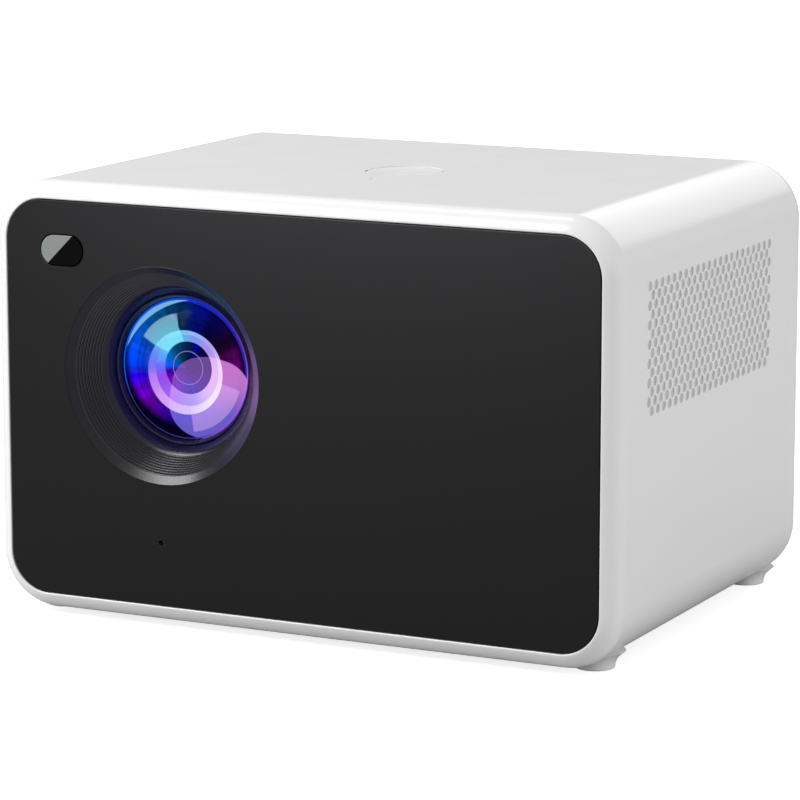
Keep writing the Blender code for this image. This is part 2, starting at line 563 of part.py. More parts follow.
# ---- Optical engine -----------------------------------------------------------------------
def make_engine_box():
    wall = Vector((ENGINE_WALL,) * 3)
    housing = block("engine_housing", ENGINE_LOW, ENGINE_HIGH, BLACK)
    inner_high = ENGINE_HIGH - wall
    inner_high.z = ENGINE_HIGH.z + 10 * MM
    cut(housing, block("engine_inner", ENGINE_LOW + wall, inner_high),
        rod("lens_window", ENGINE_WINDOW, (LENS_X, ENGINE_LOW.y - 5 * MM, LENS_Z),
            (LENS_X, ENGINE_LOW.y + 5 * MM, LENS_Z), None, 32),
        rod("lamp_window", 14 * MM, (ENGINE_HIGH.x - 5 * MM, ENGINE_Y, LENS_Z),
            (ENGINE_HIGH.x + 5 * MM, ENGINE_Y, LENS_Z), None, 24))
    block("engine_cover", (ENGINE_LOW.x, ENGINE_LOW.y, ENGINE_HIGH.z + GAP),
          (ENGINE_HIGH.x, ENGINE_HIGH.y, ENGINE_HIGH.z + GAP + 2 * MM), BLACK)


def sheet_across(name, x, thick, wide, tall, finish):
    """A flat optical sheet that stands across the light running along X."""
    return block(name, (x, ENGINE_Y - wide / 2, LENS_Z - tall / 2),
                 (x + thick, ENGINE_Y + wide / 2, LENS_Z + tall / 2), finish)


def make_optics():
    wide, tall, thick = 96 * MM, 66 * MM, 2 * MM
    block("folding_mirror", (LENS_X - wide / 2, ENGINE_Y - thick / 2, LENS_Z - tall / 2),
          (LENS_X + wide / 2, ENGINE_Y + thick / 2, LENS_Z + tall / 2), MIRROR,
          turn=(0, 0, math.radians(45)))
    sheet_across("front_fresnel", -8 * MM, 2 * MM, 92 * MM, 64 * MM, GLASS)
    sheet_across("lcd_panel", 0 * MM, 2.6 * MM, 94 * MM, 66 * MM, SCREEN)
    sheet_across("rear_fresnel", 10 * MM, 2 * MM, 92 * MM, 64 * MM, GLASS)
    sheet_across("heat_glass", 18 * MM, 1.1 * MM, 84 * MM, 60 * MM, GLASS)
    cap = [(r, h) for r, h in arc_heights(23 * MM, 7 * MM, 4)]
    turned("condenser_lens", [(0, 3 * MM), (23 * MM, 3 * MM)] +
           [(r, -h) for r, h in reversed(cap)], GLASS, (36 * MM, ENGINE_Y, LENS_Z), LOOK_RIGHT,
           segments=24)
    turned("reflector", [(11 * MM, 14 * MM), (24 * MM, 0), (22.5 * MM, 0), (9.6 * MM, 14 * MM)],
           MIRROR, (40.5 * MM, ENGINE_Y, LENS_Z), LOOK_RIGHT, True, 24)


def make_lamp():
    x = ENGINE_HIGH.x + GAP
    board = block("led_board", (x + 1.5 * MM, ENGINE_Y - 20 * MM, LENS_Z - 20 * MM),
                  (x + 3.1 * MM, ENGINE_Y + 20 * MM, LENS_Z + 20 * MM), ALUMINIUM)
    join(board, block("led_chip", (x, ENGINE_Y - 6 * MM, LENS_Z - 6 * MM),
                      (x + 2 * MM, ENGINE_Y + 6 * MM, LENS_Z + 6 * MM)))
    base = x + 3.1 * MM + GAP
    low = Vector((base, ENGINE_Y - 30 * MM, LENS_Z - 30 * MM))
    sink = block("heat_sink", low, (base + 20 * MM, ENGINE_Y + 30 * MM, LENS_Z + 30 * MM), ALUMINIUM)
    pitch = (60 * MM - FIN_THICK) / (FIN_COUNT - 1)
    grooves = [((base + 4 * MM, low.y + FIN_THICK + pitch * i, low.z - 5 * MM),
                (base + 40 * MM, low.y + pitch * (i + 1), low.z + 80 * MM))
               for i in range(FIN_COUNT - 1)]
    cut(sink, group_blocks("fin_grooves", grooves))


def fan_point(x, dy=0.0, dz=0.0):
    return Vector((x, FAN_Y + dy, FAN_Z + dz))


def make_fan():
    half = FAN_SIZE / 2
    frame = block("fan_frame", fan_point(FAN_X0, -half, -half), fan_point(FAN_X1, half, half), BLACK,
                  4 * MM, 0, 3)
    cut(frame, rod("fan_duct", 28.5 * MM, fan_point(FAN_X0 - 5 * MM), fan_point(FAN_X1 + 5 * MM),
                   None, 40))
    hub = rod("fan_seat", 11 * MM, fan_point(FAN_X1 - 2 * MM), fan_point(FAN_X1), None, 20)
    join(frame, hub)
    for i in range(3):
        angle = math.tau * i / 3 + math.radians(30)
        spoke = block(f"fan_spoke_{i}", fan_point(FAN_X1 - 1.8 * MM, 9 * MM, -1.5 * MM),
                      fan_point(FAN_X1 - 0.3 * MM, 30 * MM, 1.5 * MM))
        place_round(spoke, angle)
        join(frame, spoke)
    cut(frame, rod("fan_bearing", 1.5 * MM + RUNNING_GAP, fan_point(FAN_X1 - 6 * MM),
                   fan_point(FAN_X1 + 6 * MM), None, 12))

    x0, x1 = FAN_X0 + 1.2 * MM, FAN_X1 - 2.8 * MM
    impeller = rod("fan_impeller", 11 * MM, fan_point(x0), fan_point(x1), BLACK, 28)
    for i in range(FAN_BLADES):
        blade = block(f"blade_{i}", fan_point((x0 + x1) / 2 - 0.7 * MM, 9.5 * MM, -6.5 * MM),
                      fan_point((x0 + x1) / 2 + 0.7 * MM, 27.3 * MM, 6.5 * MM))
        place_round(blade, math.tau * i / FAN_BLADES, math.radians(38))
        join(impeller, blade)
    join(impeller, rod("fan_shaft", 1.5 * MM, fan_point(x1 - 2 * MM), fan_point(FAN_X1 - 0.5 * MM),
                       None, 12))


def place_round(piece, angle, pitch=0.0):
    """Turn a piece round the fan's axis, after pitching it about its own long side."""
    reach = (piece.location - fan_point(piece.location.x)).y
    piece.location = fan_point(piece.location.x, reach * math.cos(angle), reach * math.sin(angle))
    piece.rotation_mode = "QUATERNION"
    piece.rotation_quaternion = Quaternion((1, 0, 0), angle) @ Quaternion((0, 1, 0), pitch)


# ---- Boards and sockets -------------------------------------------------------------------
def make_socket(name, x, size, tongue):
    low = Vector((x - size[0] / 2, SOCKET_FACE_Y - size[1], SOCKET_Z))
    high = Vector((x + size[0] / 2, SOCKET_FACE_Y, SOCKET_Z + size[2]))
    shell = block(name, low, high, STEEL)
    lip = Vector((0.7 * MM, 2.5 * MM, 0.7 * MM))
    mouth = high - lip
    mouth.y = high.y + 5 * MM
    cut(shell, block(name + "_mouth", low + lip, mouth))
    if tongue:
        mid = (low + high) / 2
        half = Vector((size[0] / 2 - 2.2 * MM, 0, 0.8 * MM))
        join(shell, block(name + "_tongue", Vector((mid.x - half.x, low.y + 1 * MM, mid.z - half.z)),
                          Vector((mid.x + half.x, high.y - 1.5 * MM, mid.z + half.z))))


def make_boards():
    back = BACK_LEDGE_Y - LEDGE - GAP
    block("main_board", (-106 * MM, -22 * MM, BOARD_Z), (20 * MM, back, BOARD_TOP), BOARD)
    block("power_board", (32 * MM, -50 * MM, BOARD_Z), (106 * MM, 50 * MM, BOARD_TOP), BOARD)
    block("transformer", (44 * MM, -30 * MM, SOCKET_Z), (78 * MM, 2 * MM, SOCKET_Z + 24 * MM), BRASS,
          3 * MM, 2, 2)
    block("processor_heat_sink", (-60 * MM, 5 * MM, SOCKET_Z), (-28 * MM, 37 * MM, SOCKET_Z + 9 * MM),
          ALUMINIUM)
    for i, x in enumerate(HDMI_X):
        make_socket(f"hdmi_socket_{i + 1}", x, HDMI_SIZE, True)
    for i, x in enumerate(USB_X):
        make_socket(f"usb_socket_{i + 1}", x, USB_SIZE, True)
    low = Vector((AUDIO_X - AUDIO_SIZE[0] / 2, SOCKET_FACE_Y - AUDIO_SIZE[1], SOCKET_Z))
    audio = block("audio_socket", low, (AUDIO_X + AUDIO_SIZE[0] / 2, SOCKET_FACE_Y,
                                        SOCKET_Z + AUDIO_SIZE[2]), BLACK)
    middle = SOCKET_Z + AUDIO_SIZE[2] / 2
    cut(audio, rod("audio_bore", 1.8 * MM, (AUDIO_X, SOCKET_FACE_Y - 9 * MM, middle),
                   (AUDIO_X, SOCKET_FACE_Y + 5 * MM, middle), None, 16))


def make_inlet():
    """Two-pin appliance inlet: a deep pocket with two round pins."""
    half = Vector((INLET_SIZE[0] / 2, 0, INLET_SIZE[2] / 2))
    low = Vector((INLET_X, SOCKET_FACE_Y - INLET_SIZE[1], INLET_Z)) - half
    high = Vector((INLET_X, SOCKET_FACE_Y, INLET_Z)) + half
    inlet = block("mains_inlet", low, high, BLACK, 2.6 * MM)
    pocket = Vector((9 * MM, 0, 5 * MM))
    floor_y = SOCKET_FACE_Y - 14 * MM
    cut(inlet, block("inlet_pocket", Vector((INLET_X, floor_y, INLET_Z)) - pocket,
                     Vector((INLET_X, SOCKET_FACE_Y + 5 * MM, INLET_Z)) + pocket, None, 4.6 * MM))
    for i, side in enumerate((-1, 1)):
        x = INLET_X + side * 4.3 * MM
        join(inlet, rod(f"inlet_pin_{i}", 1.2 * MM, (x, floor_y - 2 * MM, INLET_Z),
                        (x, SOCKET_FACE_Y - 4 * MM, INLET_Z), None, 12))


def make_speaker():
    """A round loudspeaker that fires out through the left grille."""
    at = (-116.6 * MM, -10 * MM, 105 * MM)
    turned("speaker_basket",
           [(0, -8 * MM), (10.5 * MM, -8 * MM), (19.5 * MM, -1.6 * MM), (19.5 * MM, 0), (22 * MM, 0),
            (22 * MM, -2 * MM), (12.5 * MM, -9.5 * MM), (12.5 * MM, -14 * MM), (0, -14 * MM)],
           STEEL, at, (0, -math.pi / 2, 0), segments=28)
    turned("speaker_cone",
           [(0, -4.2 * MM), (6 * MM, -5 * MM), (18 * MM, -0.4 * MM), (19.1 * MM, -0.4 * MM),
            (19.1 * MM, -1.0 * MM), (18 * MM, -1.3 * MM), (7 * MM, -6.2 * MM), (0, -5.4 * MM)],
           BLACK, at, (0, -math.pi / 2, 0), segments=28)


make_sleeve()
make_front_panel()
make_rear_panel()
make_base()
make_feet()
make_hood()
make_barrel()
make_lenses()
make_focus_drive()
make_sensor_and_microphone()
make_button()
make_engine_box()
make_optics()
make_lamp()
make_fan()
make_boards()
make_inlet()
make_speaker()
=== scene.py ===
"""Looks of the home projector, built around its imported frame.

Each sub-assembly is a class. It holds its sizes in metres, builds its own meshes and dresses
them in procedural finishes. Nothing here moves or resizes a piece of the frame.
"""

from __future__ import annotations

import logging
import math
from dataclasses import dataclass, field
from enum import Enum
from typing import Sequence

import bmesh
import bpy
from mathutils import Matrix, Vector

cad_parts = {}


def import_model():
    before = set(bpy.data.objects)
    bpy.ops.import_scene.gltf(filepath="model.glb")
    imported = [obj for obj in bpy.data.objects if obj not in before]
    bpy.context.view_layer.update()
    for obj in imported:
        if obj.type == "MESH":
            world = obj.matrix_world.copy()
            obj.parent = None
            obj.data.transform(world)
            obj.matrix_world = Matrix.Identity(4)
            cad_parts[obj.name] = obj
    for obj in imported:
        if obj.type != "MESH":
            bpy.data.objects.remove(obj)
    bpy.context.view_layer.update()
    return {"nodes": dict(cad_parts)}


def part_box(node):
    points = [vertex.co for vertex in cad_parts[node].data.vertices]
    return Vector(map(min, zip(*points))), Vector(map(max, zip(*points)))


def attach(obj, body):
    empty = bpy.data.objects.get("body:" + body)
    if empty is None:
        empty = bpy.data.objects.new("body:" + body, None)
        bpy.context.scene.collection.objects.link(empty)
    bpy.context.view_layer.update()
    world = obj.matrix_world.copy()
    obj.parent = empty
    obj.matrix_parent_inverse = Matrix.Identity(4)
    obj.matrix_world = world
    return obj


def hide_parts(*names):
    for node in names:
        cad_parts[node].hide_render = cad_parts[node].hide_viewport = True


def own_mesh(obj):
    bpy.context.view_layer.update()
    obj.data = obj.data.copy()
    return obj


LOG = logging.getLogger("projector")
MM = 0.001
FLOAT, COLOUR = "NodeSocketFloat", "NodeSocketColor"

Colour = tuple[float, float, float]
Pair = tuple[float, float]
Profile = Sequence[Pair]
Stops = Sequence[tuple[float, "Colour | float"]]
Piece = bpy.types.Object
Socket = bpy.types.NodeSocket


class Axis(Enum):
    """The direction that a turned piece's height points to, as a rotation of local Z."""

    UP = (0.0, 0.0, 0.0)
    FORWARD = (math.pi / 2, 0.0, 0.0)
    BACK = (-math.pi / 2, 0.0, 0.0)
    DOWN = (math.pi, 0.0, 0.0)


class Body(Enum):
    """The rigid bodies of the frame that the new pieces ride on."""

    ROOT = "root"
    LENS = "lens_cell"
    BUTTON = "power_button"


# ---- Node sheets --------------------------------------------------------------------------
@dataclass
class Sheet:
    """A node tree that is written one node at a time."""

    tree: bpy.types.NodeTree

    def feed(self, into: Socket, value: object) -> None:
        """Link a socket to an input, or set the input's own value.

        Args:
            into: The input.
            value: Socket, number or colour.
        """
        if isinstance(value, bpy.types.NodeSocket):
            self.tree.links.new(value, into)
        elif into.type == "RGBA":
            into.default_value = (*value, 1.0)
        else:
            into.default_value = value

    def wire(self, node: bpy.types.Node, **values: object) -> None:
        """Feed inputs of a node by name, with _ for a space."""
        for name, value in values.items():
            self.feed(node.inputs[name.replace("_", " ")], value)

    def node(self, kind: str, **values: object) -> bpy.types.Node:
        """Add a node.

        Args:
            kind: Shader node type without its ShaderNode prefix.
            values: Node properties, or what feeds an input, given as in_Name.

        Returns:
            The new node.
        """
        made = self.tree.nodes.new(kind if kind.startswith("NodeGroup") else "ShaderNode" + kind)
        for key, value in values.items():
            if key.startswith("in_"):
                self.wire(made, **{key[3:]: value})
            else:
                setattr(made, key, value)
        return made

    def maths(self, operation: str, *operands: float | Socket) -> Socket:
        """Add a Math node.

        Args:
            operation: The node's operation, such as ADD.
            operands: Sockets or numbers, in the order of the inputs.

        Returns:
            The result socket.
        """
        made = self.node("Math", operation=operation)
        for into, operand in zip(made.inputs, operands):
            self.feed(into, operand)
        return made.outputs[0]

    def product(self, first: Socket, *others: float | Socket) -> Socket:
        """Multiply sockets and numbers.

        Args:
            first: The first factor.
            others: The other factors.

        Returns:
            The product's socket.
        """
        for other in others:
            first = self.maths("MULTIPLY", first, other)
        return first

    def outside(self, mask: Socket) -> Socket:
        """Turn a mask inside out."""
        return self.maths("SUBTRACT", 1.0, mask)

    def ramp(self, factor: Socket, stops: Stops, smooth: bool = False) -> Socket:
        """Map a value to colours.

        Args:
            factor: The value, from 0 to 1.
            stops: Positions in rising order, each with a colour or a grey level.
            smooth: Ease between the stops.

        Returns:
            The colour socket.
        """
        made = self.node("ValToRGB", in_Fac=factor)
        made.color_ramp.interpolation = "EASE" if smooth else "LINEAR"
        elements = made.color_ramp.elements
        while len(elements) < len(stops):
            elements.new(0.5)
        for element, (place, colour) in zip(elements, stops):
            element.position = place
            element.color = (*(colour if isinstance(colour, tuple) else (colour,) * 3), 1.0)
        return made.outputs["Color"]

    def mix(self, factor: float | Socket, under: Colour | Socket, over: Colour | Socket,
            blend: str = "MIX") -> Socket:
        """Mix two colours.

        Args:
            factor: How much of the upper colour shows.
            under: The lower colour.
            over: The upper colour.
            blend: Blend mode.

        Returns:
            The mixed colour socket.
        """
        made = self.node("Mix", data_type="RGBA", blend_type=blend)
        for name, value in (("Factor_Float", factor), ("A_Color", under), ("B_Color", over)):
            self.feed(next(s for s in made.inputs if s.identifier == name), value)
        return next(s for s in made.outputs if s.identifier == "Result_Color")

    def smooth_step(self, value: Socket, low: float, high: float) -> Socket:
        """Ease from 0 at low to 1 at high."""
        return self.node("MapRange", interpolation_type="SMOOTHSTEP", in_Value=value,
                         in_From_Min=low, in_From_Max=high).outputs["Result"]

    def place(self) -> Socket:
        """Give the piece's own coordinates."""
        return self.node("TexCoord").outputs["Object"]

    def noise(self, place: Socket, scale: float | Socket, detail: float) -> Socket:
        """Add noise, from 0 to 1."""
        return self.node("TexNoise", in_Vector=place, in_Scale=scale,
                         in_Detail=detail).outputs[0]

    def bump(self, height: Socket, depth: float) -> Socket:
        """Turn heights into a normal, for a relief of the given depth."""
        return self.node("Bump", in_Strength=1.0, in_Distance=depth,
                         in_Height=height).outputs["Normal"]


def new_group(name: str, inputs: dict[str, str],
              outputs: dict[str, str]) -> tuple[Sheet, bpy.types.Node, bpy.types.Node]:
    """Start a shader node group.

    Args:
        name: Name of the group.
        inputs: Names of its inputs, with their types.
        outputs: Names of its outputs, with their types.

    Returns:
        Its sheet, the node of its inputs and the node of its outputs.
    """
    sheet = Sheet(bpy.data.node_groups.new(name, "ShaderNodeTree"))
    for kind, sockets in (("INPUT", inputs), ("OUTPUT", outputs)):
        for label, socket_type in sockets.items():
            sheet.tree.interface.new_socket(label, in_out=kind, socket_type=socket_type)
    return sheet, sheet.node("NodeGroupInput"), sheet.node("NodeGroupOutput")


def moulded_grain() -> bpy.types.NodeTree:
    """Group for moulded and coated surfaces: fine grain, faint clouding and handling marks.

    Returns:
        A group with inputs Colour, Cloud, Grain Scale, Roughness, Roughness Spread and
        outputs Colour, Roughness, Height.
    """
    name, cloud_scale, mark_scale = "moulded_grain", 14.0, 60.0
    if name in bpy.data.node_groups:
        return bpy.data.node_groups[name]
    sheet, given, out = new_group(
        name, {"Colour": COLOUR, "Cloud": FLOAT, "Grain Scale": FLOAT, "Roughness": FLOAT,
               "Roughness Spread": FLOAT}, {"Colour": COLOUR, "Roughness": FLOAT, "Height": FLOAT})
    place = sheet.place()
    swing = sheet.maths("SUBTRACT", sheet.noise(place, cloud_scale, 3.0), 0.5)
    level = sheet.maths("ADD", sheet.product(swing, given.outputs["Cloud"]), 1.0)
    shade = sheet.node("VectorMath", operation="SCALE", in_Scale=level)
    sheet.feed(shade.inputs[0], given.outputs["Colour"])
    marks = sheet.maths("SUBTRACT", sheet.noise(place, mark_scale, 4.0), 0.5)
    spread = sheet.product(marks, given.outputs["Roughness Spread"])
    sheet.wire(out, Colour=shade.outputs[0],
               Roughness=sheet.maths("ADD", given.outputs["Roughness"], spread),
               Height=sheet.noise(place, given.outputs["Grain Scale"], 2.0))
    return sheet.tree


def lens_polar() -> bpy.types.NodeTree:
    """Group that reads a lens piece's own axis: distance from it and angle round it.

    Returns:
        A group with outputs Radius (millimetres), Angle (0 to 1 from the left, through the
        bottom), Across and Up (millimetres).
    """
    name = "lens_polar"
    if name in bpy.data.node_groups:
        return bpy.data.node_groups[name]
    sheet, _, out = new_group(name, {}, dict.fromkeys(("Radius", "Angle", "Across", "Up"), FLOAT))
    split = sheet.node("SeparateXYZ", in_Vector=sheet.place())
    across = sheet.product(split.outputs["X"], 1.0 / MM)
    up = sheet.product(split.outputs["Y"], 1.0 / MM)
    square = sheet.maths("ADD", sheet.product(across, across), sheet.product(up, up))
    turn = sheet.product(sheet.maths("ARCTAN2", up, across), 1 / math.tau)
    sheet.wire(out, Radius=sheet.maths("SQRT", square), Angle=sheet.maths("ADD", turn, 0.5),
               Across=across, Up=up)
    return sheet.tree


@dataclass(frozen=True)
class Disc:
    """A round mark on a lens: its middle, its radius and its soft edge, in millimetres."""

    across: float
    up: float
    radius: float
    soft: float


@dataclass(frozen=True)
class Sector:
    """A part of a ring on a lens: radii and soft edge in millimetres, angles from 0 to 1."""

    inner: float
    outer: float
    soft: float
    first: float = -1.0
    last: float = 2.0


@dataclass
class LensPattern:
    """Marks on a lens piece, laid out about its axis.

    Angle 0 and 1 lie at the left, 0.25 at the bottom, 0.5 at the right, 0.75 at the top.
    """

    sheet: Sheet
    polar: bpy.types.Node = field(init=False)

    def __post_init__(self) -> None:
        """Place the group that reads the axis."""
        self.polar = self.sheet.node("Group", node_tree=lens_polar())

    def read(self, name: str) -> Socket:
        """Give Radius, Angle, Across or Up."""
        return self.polar.outputs[name]

    def wheel(self, stops: Stops) -> Socket:
        """Colour round the axis, back to the first stop's colour."""
        return self.sheet.ramp(self.read("Angle"), (*stops, (1.0, stops[0][1])), True)

    def band(self, name: str, low: float, high: float, soft: float) -> Socket:
        """Mask where an output of the axis group lies between two values.

        Args:
            name: Radius or Angle.
            low: The lower value.
            high: The higher value.
            soft: Width of both edges.

        Returns:
            A mask socket.
        """
        value = self.read(name)
        return self.sheet.product(
            self.sheet.smooth_step(value, low - soft / 2, low + soft / 2),
            self.sheet.smooth_step(value, high + soft / 2, high - soft / 2))

    def sector(self, mark: Sector) -> Socket:
        """Mask of a part of a ring."""
        turn = mark.soft / (math.pi * (mark.inner + mark.outer))
        return self.sheet.product(self.band("Radius", mark.inner, mark.outer, mark.soft),
                                  self.band("Angle", mark.first, mark.last, turn))

    def disc(self, mark: Disc) -> Socket:
        """Mask of a disc that needn't share the lens's axis.

        Args:
            mark: The disc.

        Returns:
            A mask socket.
        """
        sheet = self.sheet
        across = sheet.maths("SUBTRACT", self.read("Across"), mark.across)
        up = sheet.maths("SUBTRACT", self.read("Up"), mark.up)
        square = sheet.maths("ADD", sheet.product(across, across), sheet.product(up, up))
        edge = mark.soft / 2
        return sheet.smooth_step(sheet.maths("SQRT", square), mark.radius + edge,
                                 mark.radius - edge)

    def pillow(self, centre: Pair, half: Pair) -> Socket:
        """Mask of a disc with slightly squared shoulders.

        Args:
            centre: Across and up of its middle, in millimetres.
            half: Half width and half height, in millimetres.

        Returns:
            A mask socket.
        """
        squareness, inner_edge, outer_edge = 2.5, 0.98, 1.03
        parts = []
        for name, middle, reach in zip(("Across", "Up"), centre, half):
            part = self.sheet.maths("SUBTRACT", self.read(name), middle)
            part = self.sheet.maths("ABSOLUTE", self.sheet.maths("DIVIDE", part, reach))
            parts.append(self.sheet.maths("POWER", part, squareness))
        return self.sheet.smooth_step(self.sheet.maths("ADD", *parts), outer_edge, inner_edge)

    def streaks(self) -> Socket:
        """Uneven spokes of painted highlight and painted shade that run out from the axis.

        Returns:
            A grey socket to multiply a colour by.
        """
        sheet = self.sheet
        flat = sheet.node("CombineXYZ", in_X=self.read("Across"), in_Y=self.read("Up"))
        spokes = sheet.node("VectorMath", operation="NORMALIZE", in_Vector=flat.outputs[0])
        return sheet.ramp(sheet.noise(spokes.outputs[0], 5.0, 3.0), ((0.35, 0.6), (0.65, 1.25)))


# ---- Finishes -----------------------------------------------------------------------------
def new_material(name: str) -> tuple[bpy.types.Material, Sheet, bpy.types.Node]:
    """Make a material with an empty Principled shader.

    Args:
        name: The material's name.

    Returns:
        The material, its sheet and its shader node.
    """
    made = bpy.data.materials.new(name)
    made.use_nodes = True
    return made, Sheet(made.node_tree), made.node_tree.nodes["Principled BSDF"]


@dataclass(frozen=True)
class Finish:
    """A procedural finish, which belongs to one material slot of the record."""

    name: str
    slot: str

    def build(self) -> bpy.types.Material:
        """Make the material, once for each name.

        Returns:
            The material.
        """
        if self.name in bpy.data.materials:
            return bpy.data.materials[self.name]
        made, sheet, shader = new_material(self.name)
        self.write(sheet, shader)
        return made

    def write(self, sheet: Sheet, shader: bpy.types.Node) -> None:
        """Lay out the nodes that feed the shader."""
        raise NotImplementedError


@dataclass(frozen=True)
class Moulded(Finish):
    """A moulded, painted or plated surface with grain."""

    colour: Colour
    roughness: float
    metallic: float = 0.0
    cloud: float = 0.03
    grain_scale: float = 2500.0
    grain_depth: float = 0.00002
    spread: float = 0.06
    coat: float = 0.0
    coat_roughness: float = 0.1
    specular: float = 0.5

    def write(self, sheet: Sheet, shader: bpy.types.Node) -> None:
        """Feed the shader with grain, clouding and uneven gloss.

        Args:
            sheet: The material's sheet.
            shader: Its shader node.
        """
        grain = sheet.node("Group", node_tree=moulded_grain(), in_Colour=self.colour,
                           in_Cloud=self.cloud, in_Grain_Scale=self.grain_scale,
                           in_Roughness=self.roughness, in_Roughness_Spread=self.spread)
        sheet.wire(shader, Base_Color=grain.outputs["Colour"],
                   Roughness=grain.outputs["Roughness"],
                   Normal=sheet.bump(grain.outputs["Height"], self.grain_depth),
                   Metallic=self.metallic, Specular_IOR_Level=self.specular,
                   Coat_Weight=self.coat, Coat_Roughness=self.coat_roughness)


@dataclass(frozen=True)
class ClearGlass(Finish):
    """Polished optical glass with a faint tint and faint smudges."""

    tint: Colour
    index: float
    smudge: float = 0.05

    def write(self, sheet: Sheet, shader: bpy.types.Node) -> None:
        """Feed the shader with smudges.

        Args:
            sheet: The material's sheet.
            shader: Its shader node.
        """
        smudges = sheet.smooth_step(sheet.noise(sheet.place(), 90.0, 4.0), 0.55, 0.95)
        sheet.wire(shader, Base_Color=self.tint, Transmission_Weight=1.0, IOR=self.index,
                   Roughness=sheet.product(smudges, self.smudge))


@dataclass(frozen=True)
class CoatedOpticsPaintedLight(Finish):
    """The coated elements seen through the front glass, drawn as painted light that glows by
    emission: coating colours and painted highlights by angle, rings and painted shade by radius,
    and painted reflections over them.
    """

    # Colours round the axis of the outer and inner elements: coating colours, brightened by
    # painted highlights at the left and lower left.
    outer: Stops = (
        (0.00, (0.0, 0.055, 0.95)), (0.03, (0.02, 0.0, 0.75)), (0.08, (0.14, 0.0, 0.62)),
        (0.12, (0.17, 0.0, 0.52)), (0.17, (0.05, 0.0, 0.42)), (0.24, (0.0, 0.0, 0.42)),
        (0.32, (0.03, 0.015, 0.55)), (0.42, (0.10, 0.01, 0.32)), (0.50, (0.17, 0.0, 0.22)),
        (0.54, (0.10, 0.0, 0.13)), (0.59, (0.006, 0.0, 0.02)), (0.66, (0.0, 0.0, 0.06)),
        (0.71, (0.0, 0.003, 0.22)), (0.76, (0.0, 0.02, 0.09)), (0.83, (0.0, 0.07, 0.22)),
        (0.90, (0.0, 0.07, 0.42)), (0.95, (0.0, 0.075, 0.80)))
    inner: Stops = (
        (0.00, (0.0, 0.10, 0.85)), (0.03, (0.03, 0.0, 0.30)), (0.10, (0.16, 0.0, 0.42)),
        (0.16, (0.12, 0.0, 0.42)), (0.26, (0.02, 0.02, 0.40)), (0.40, (0.04, 0.0, 0.16)),
        (0.52, (0.01, 0.0, 0.03)), (0.64, (0.0, 0.0, 0.05)), (0.69, (0.0, 0.0, 0.25)),
        (0.74, (0.0, 0.01, 0.06)), (0.84, (0.0, 0.05, 0.16)), (0.93, (0.0, 0.13, 0.48)))
    # Colours of the bright ring, which is painted light: palest at the lower right, where the
    # light falls.
    painted_ring_light_inner: Stops = (
        (0.00, (0.17, 0.16, 0.92)), (0.06, (0.32, 0.08, 0.85)), (0.16, (0.36, 0.14, 0.88)),
        (0.26, (0.30, 0.26, 0.90)), (0.38, (0.62, 0.46, 0.95)), (0.50, (0.70, 0.42, 0.90)),
        (0.62, (0.42, 0.30, 0.85)), (0.70, (0.22, 0.35, 0.90)), (0.80, (0.12, 0.52, 0.86)),
        (0.90, (0.12, 0.55, 0.90)), (0.96, (0.12, 0.36, 0.95)))
    painted_ring_light_outer: Stops = (
        (0.00, (0.22, 0.18, 0.90)), (0.06, (0.55, 0.24, 0.90)), (0.16, (0.72, 0.38, 0.95)),
        (0.26, (0.70, 0.52, 0.98)), (0.38, (0.90, 0.78, 1.0)), (0.50, (0.88, 0.68, 1.0)),
        (0.62, (0.48, 0.38, 0.92)), (0.70, (0.34, 0.50, 0.95)), (0.80, (0.18, 0.62, 0.90)),
        (0.90, (0.14, 0.45, 0.85)), (0.96, (0.14, 0.24, 0.88)))
    # Colours of the painted highlight along the rim of the glass, round the axis.
    rim: Stops = (
        (0.00, (0.0, 0.12, 0.9)), (0.10, (0.02, 0.02, 0.10)), (0.25, (0.04, 0.02, 0.16)),
        (0.38, (0.30, 0.06, 0.95)), (0.48, (0.60, 0.10, 1.0)), (0.57, (0.45, 0.0, 0.95)),
        (0.62, (0.08, 0.0, 0.85)), (0.68, (0.0, 0.02, 0.70)), (0.80, (0.0, 0.10, 0.75)))
    # Brightness of the painted glow by radius: the rings of the elements, with painted shade that
    # falls to dark towards the barrel.
    steps: Stops = (
        (0.00, 0.0), (0.03, 0.12), (0.045, 0.5), (0.06, 0.2), (0.16, 0.65), (0.222, 0.75),
        (0.236, 0.85), (0.355, 1.1), (0.60, 0.75), (0.68, 0.55), (0.69, 0.9), (0.76, 0.65),
        (0.77, 1.05), (0.86, 1.2), (0.93, 0.55), (0.965, 0.04))
    # Colours by radius of a painted reflection at the upper left.
    cyan_reflection_colours: Stops = ((0.45, (0.12, 0.85, 0.98)), (0.75, (0.22, 0.70, 0.90)),
                    (1.00, (0.30, 0.52, 0.68)))
    glass_radius: float = 25.6
    cyan_reflection_radius: float = 20.0
    pupil_edge: Pair = (9.6, 9.2)
    hair: Sector = Sector(5.75, 6.05, 0.12)
    # Painted shade: outside this disc the elements go dark towards the barrel.
    shade: Disc = Disc(-1.0, 3.4, 22.6, 4.5)
    # Discs that bound the bright ring of painted light.
    ring: Disc = Disc(-0.05, -1.35, 14.9, 0.15)
    ring_split: Disc = Disc(0.2, -0.7, 12.6, 0.15)
    ring_hole: Disc = Disc(0.0, 0.0, 9.35, 0.15)
    # Painted reflection: a blue-green band at the upper left.
    cyan_reflection: Sector = Sector(9.5, 19.7, 0.6, 0.778, 0.912)
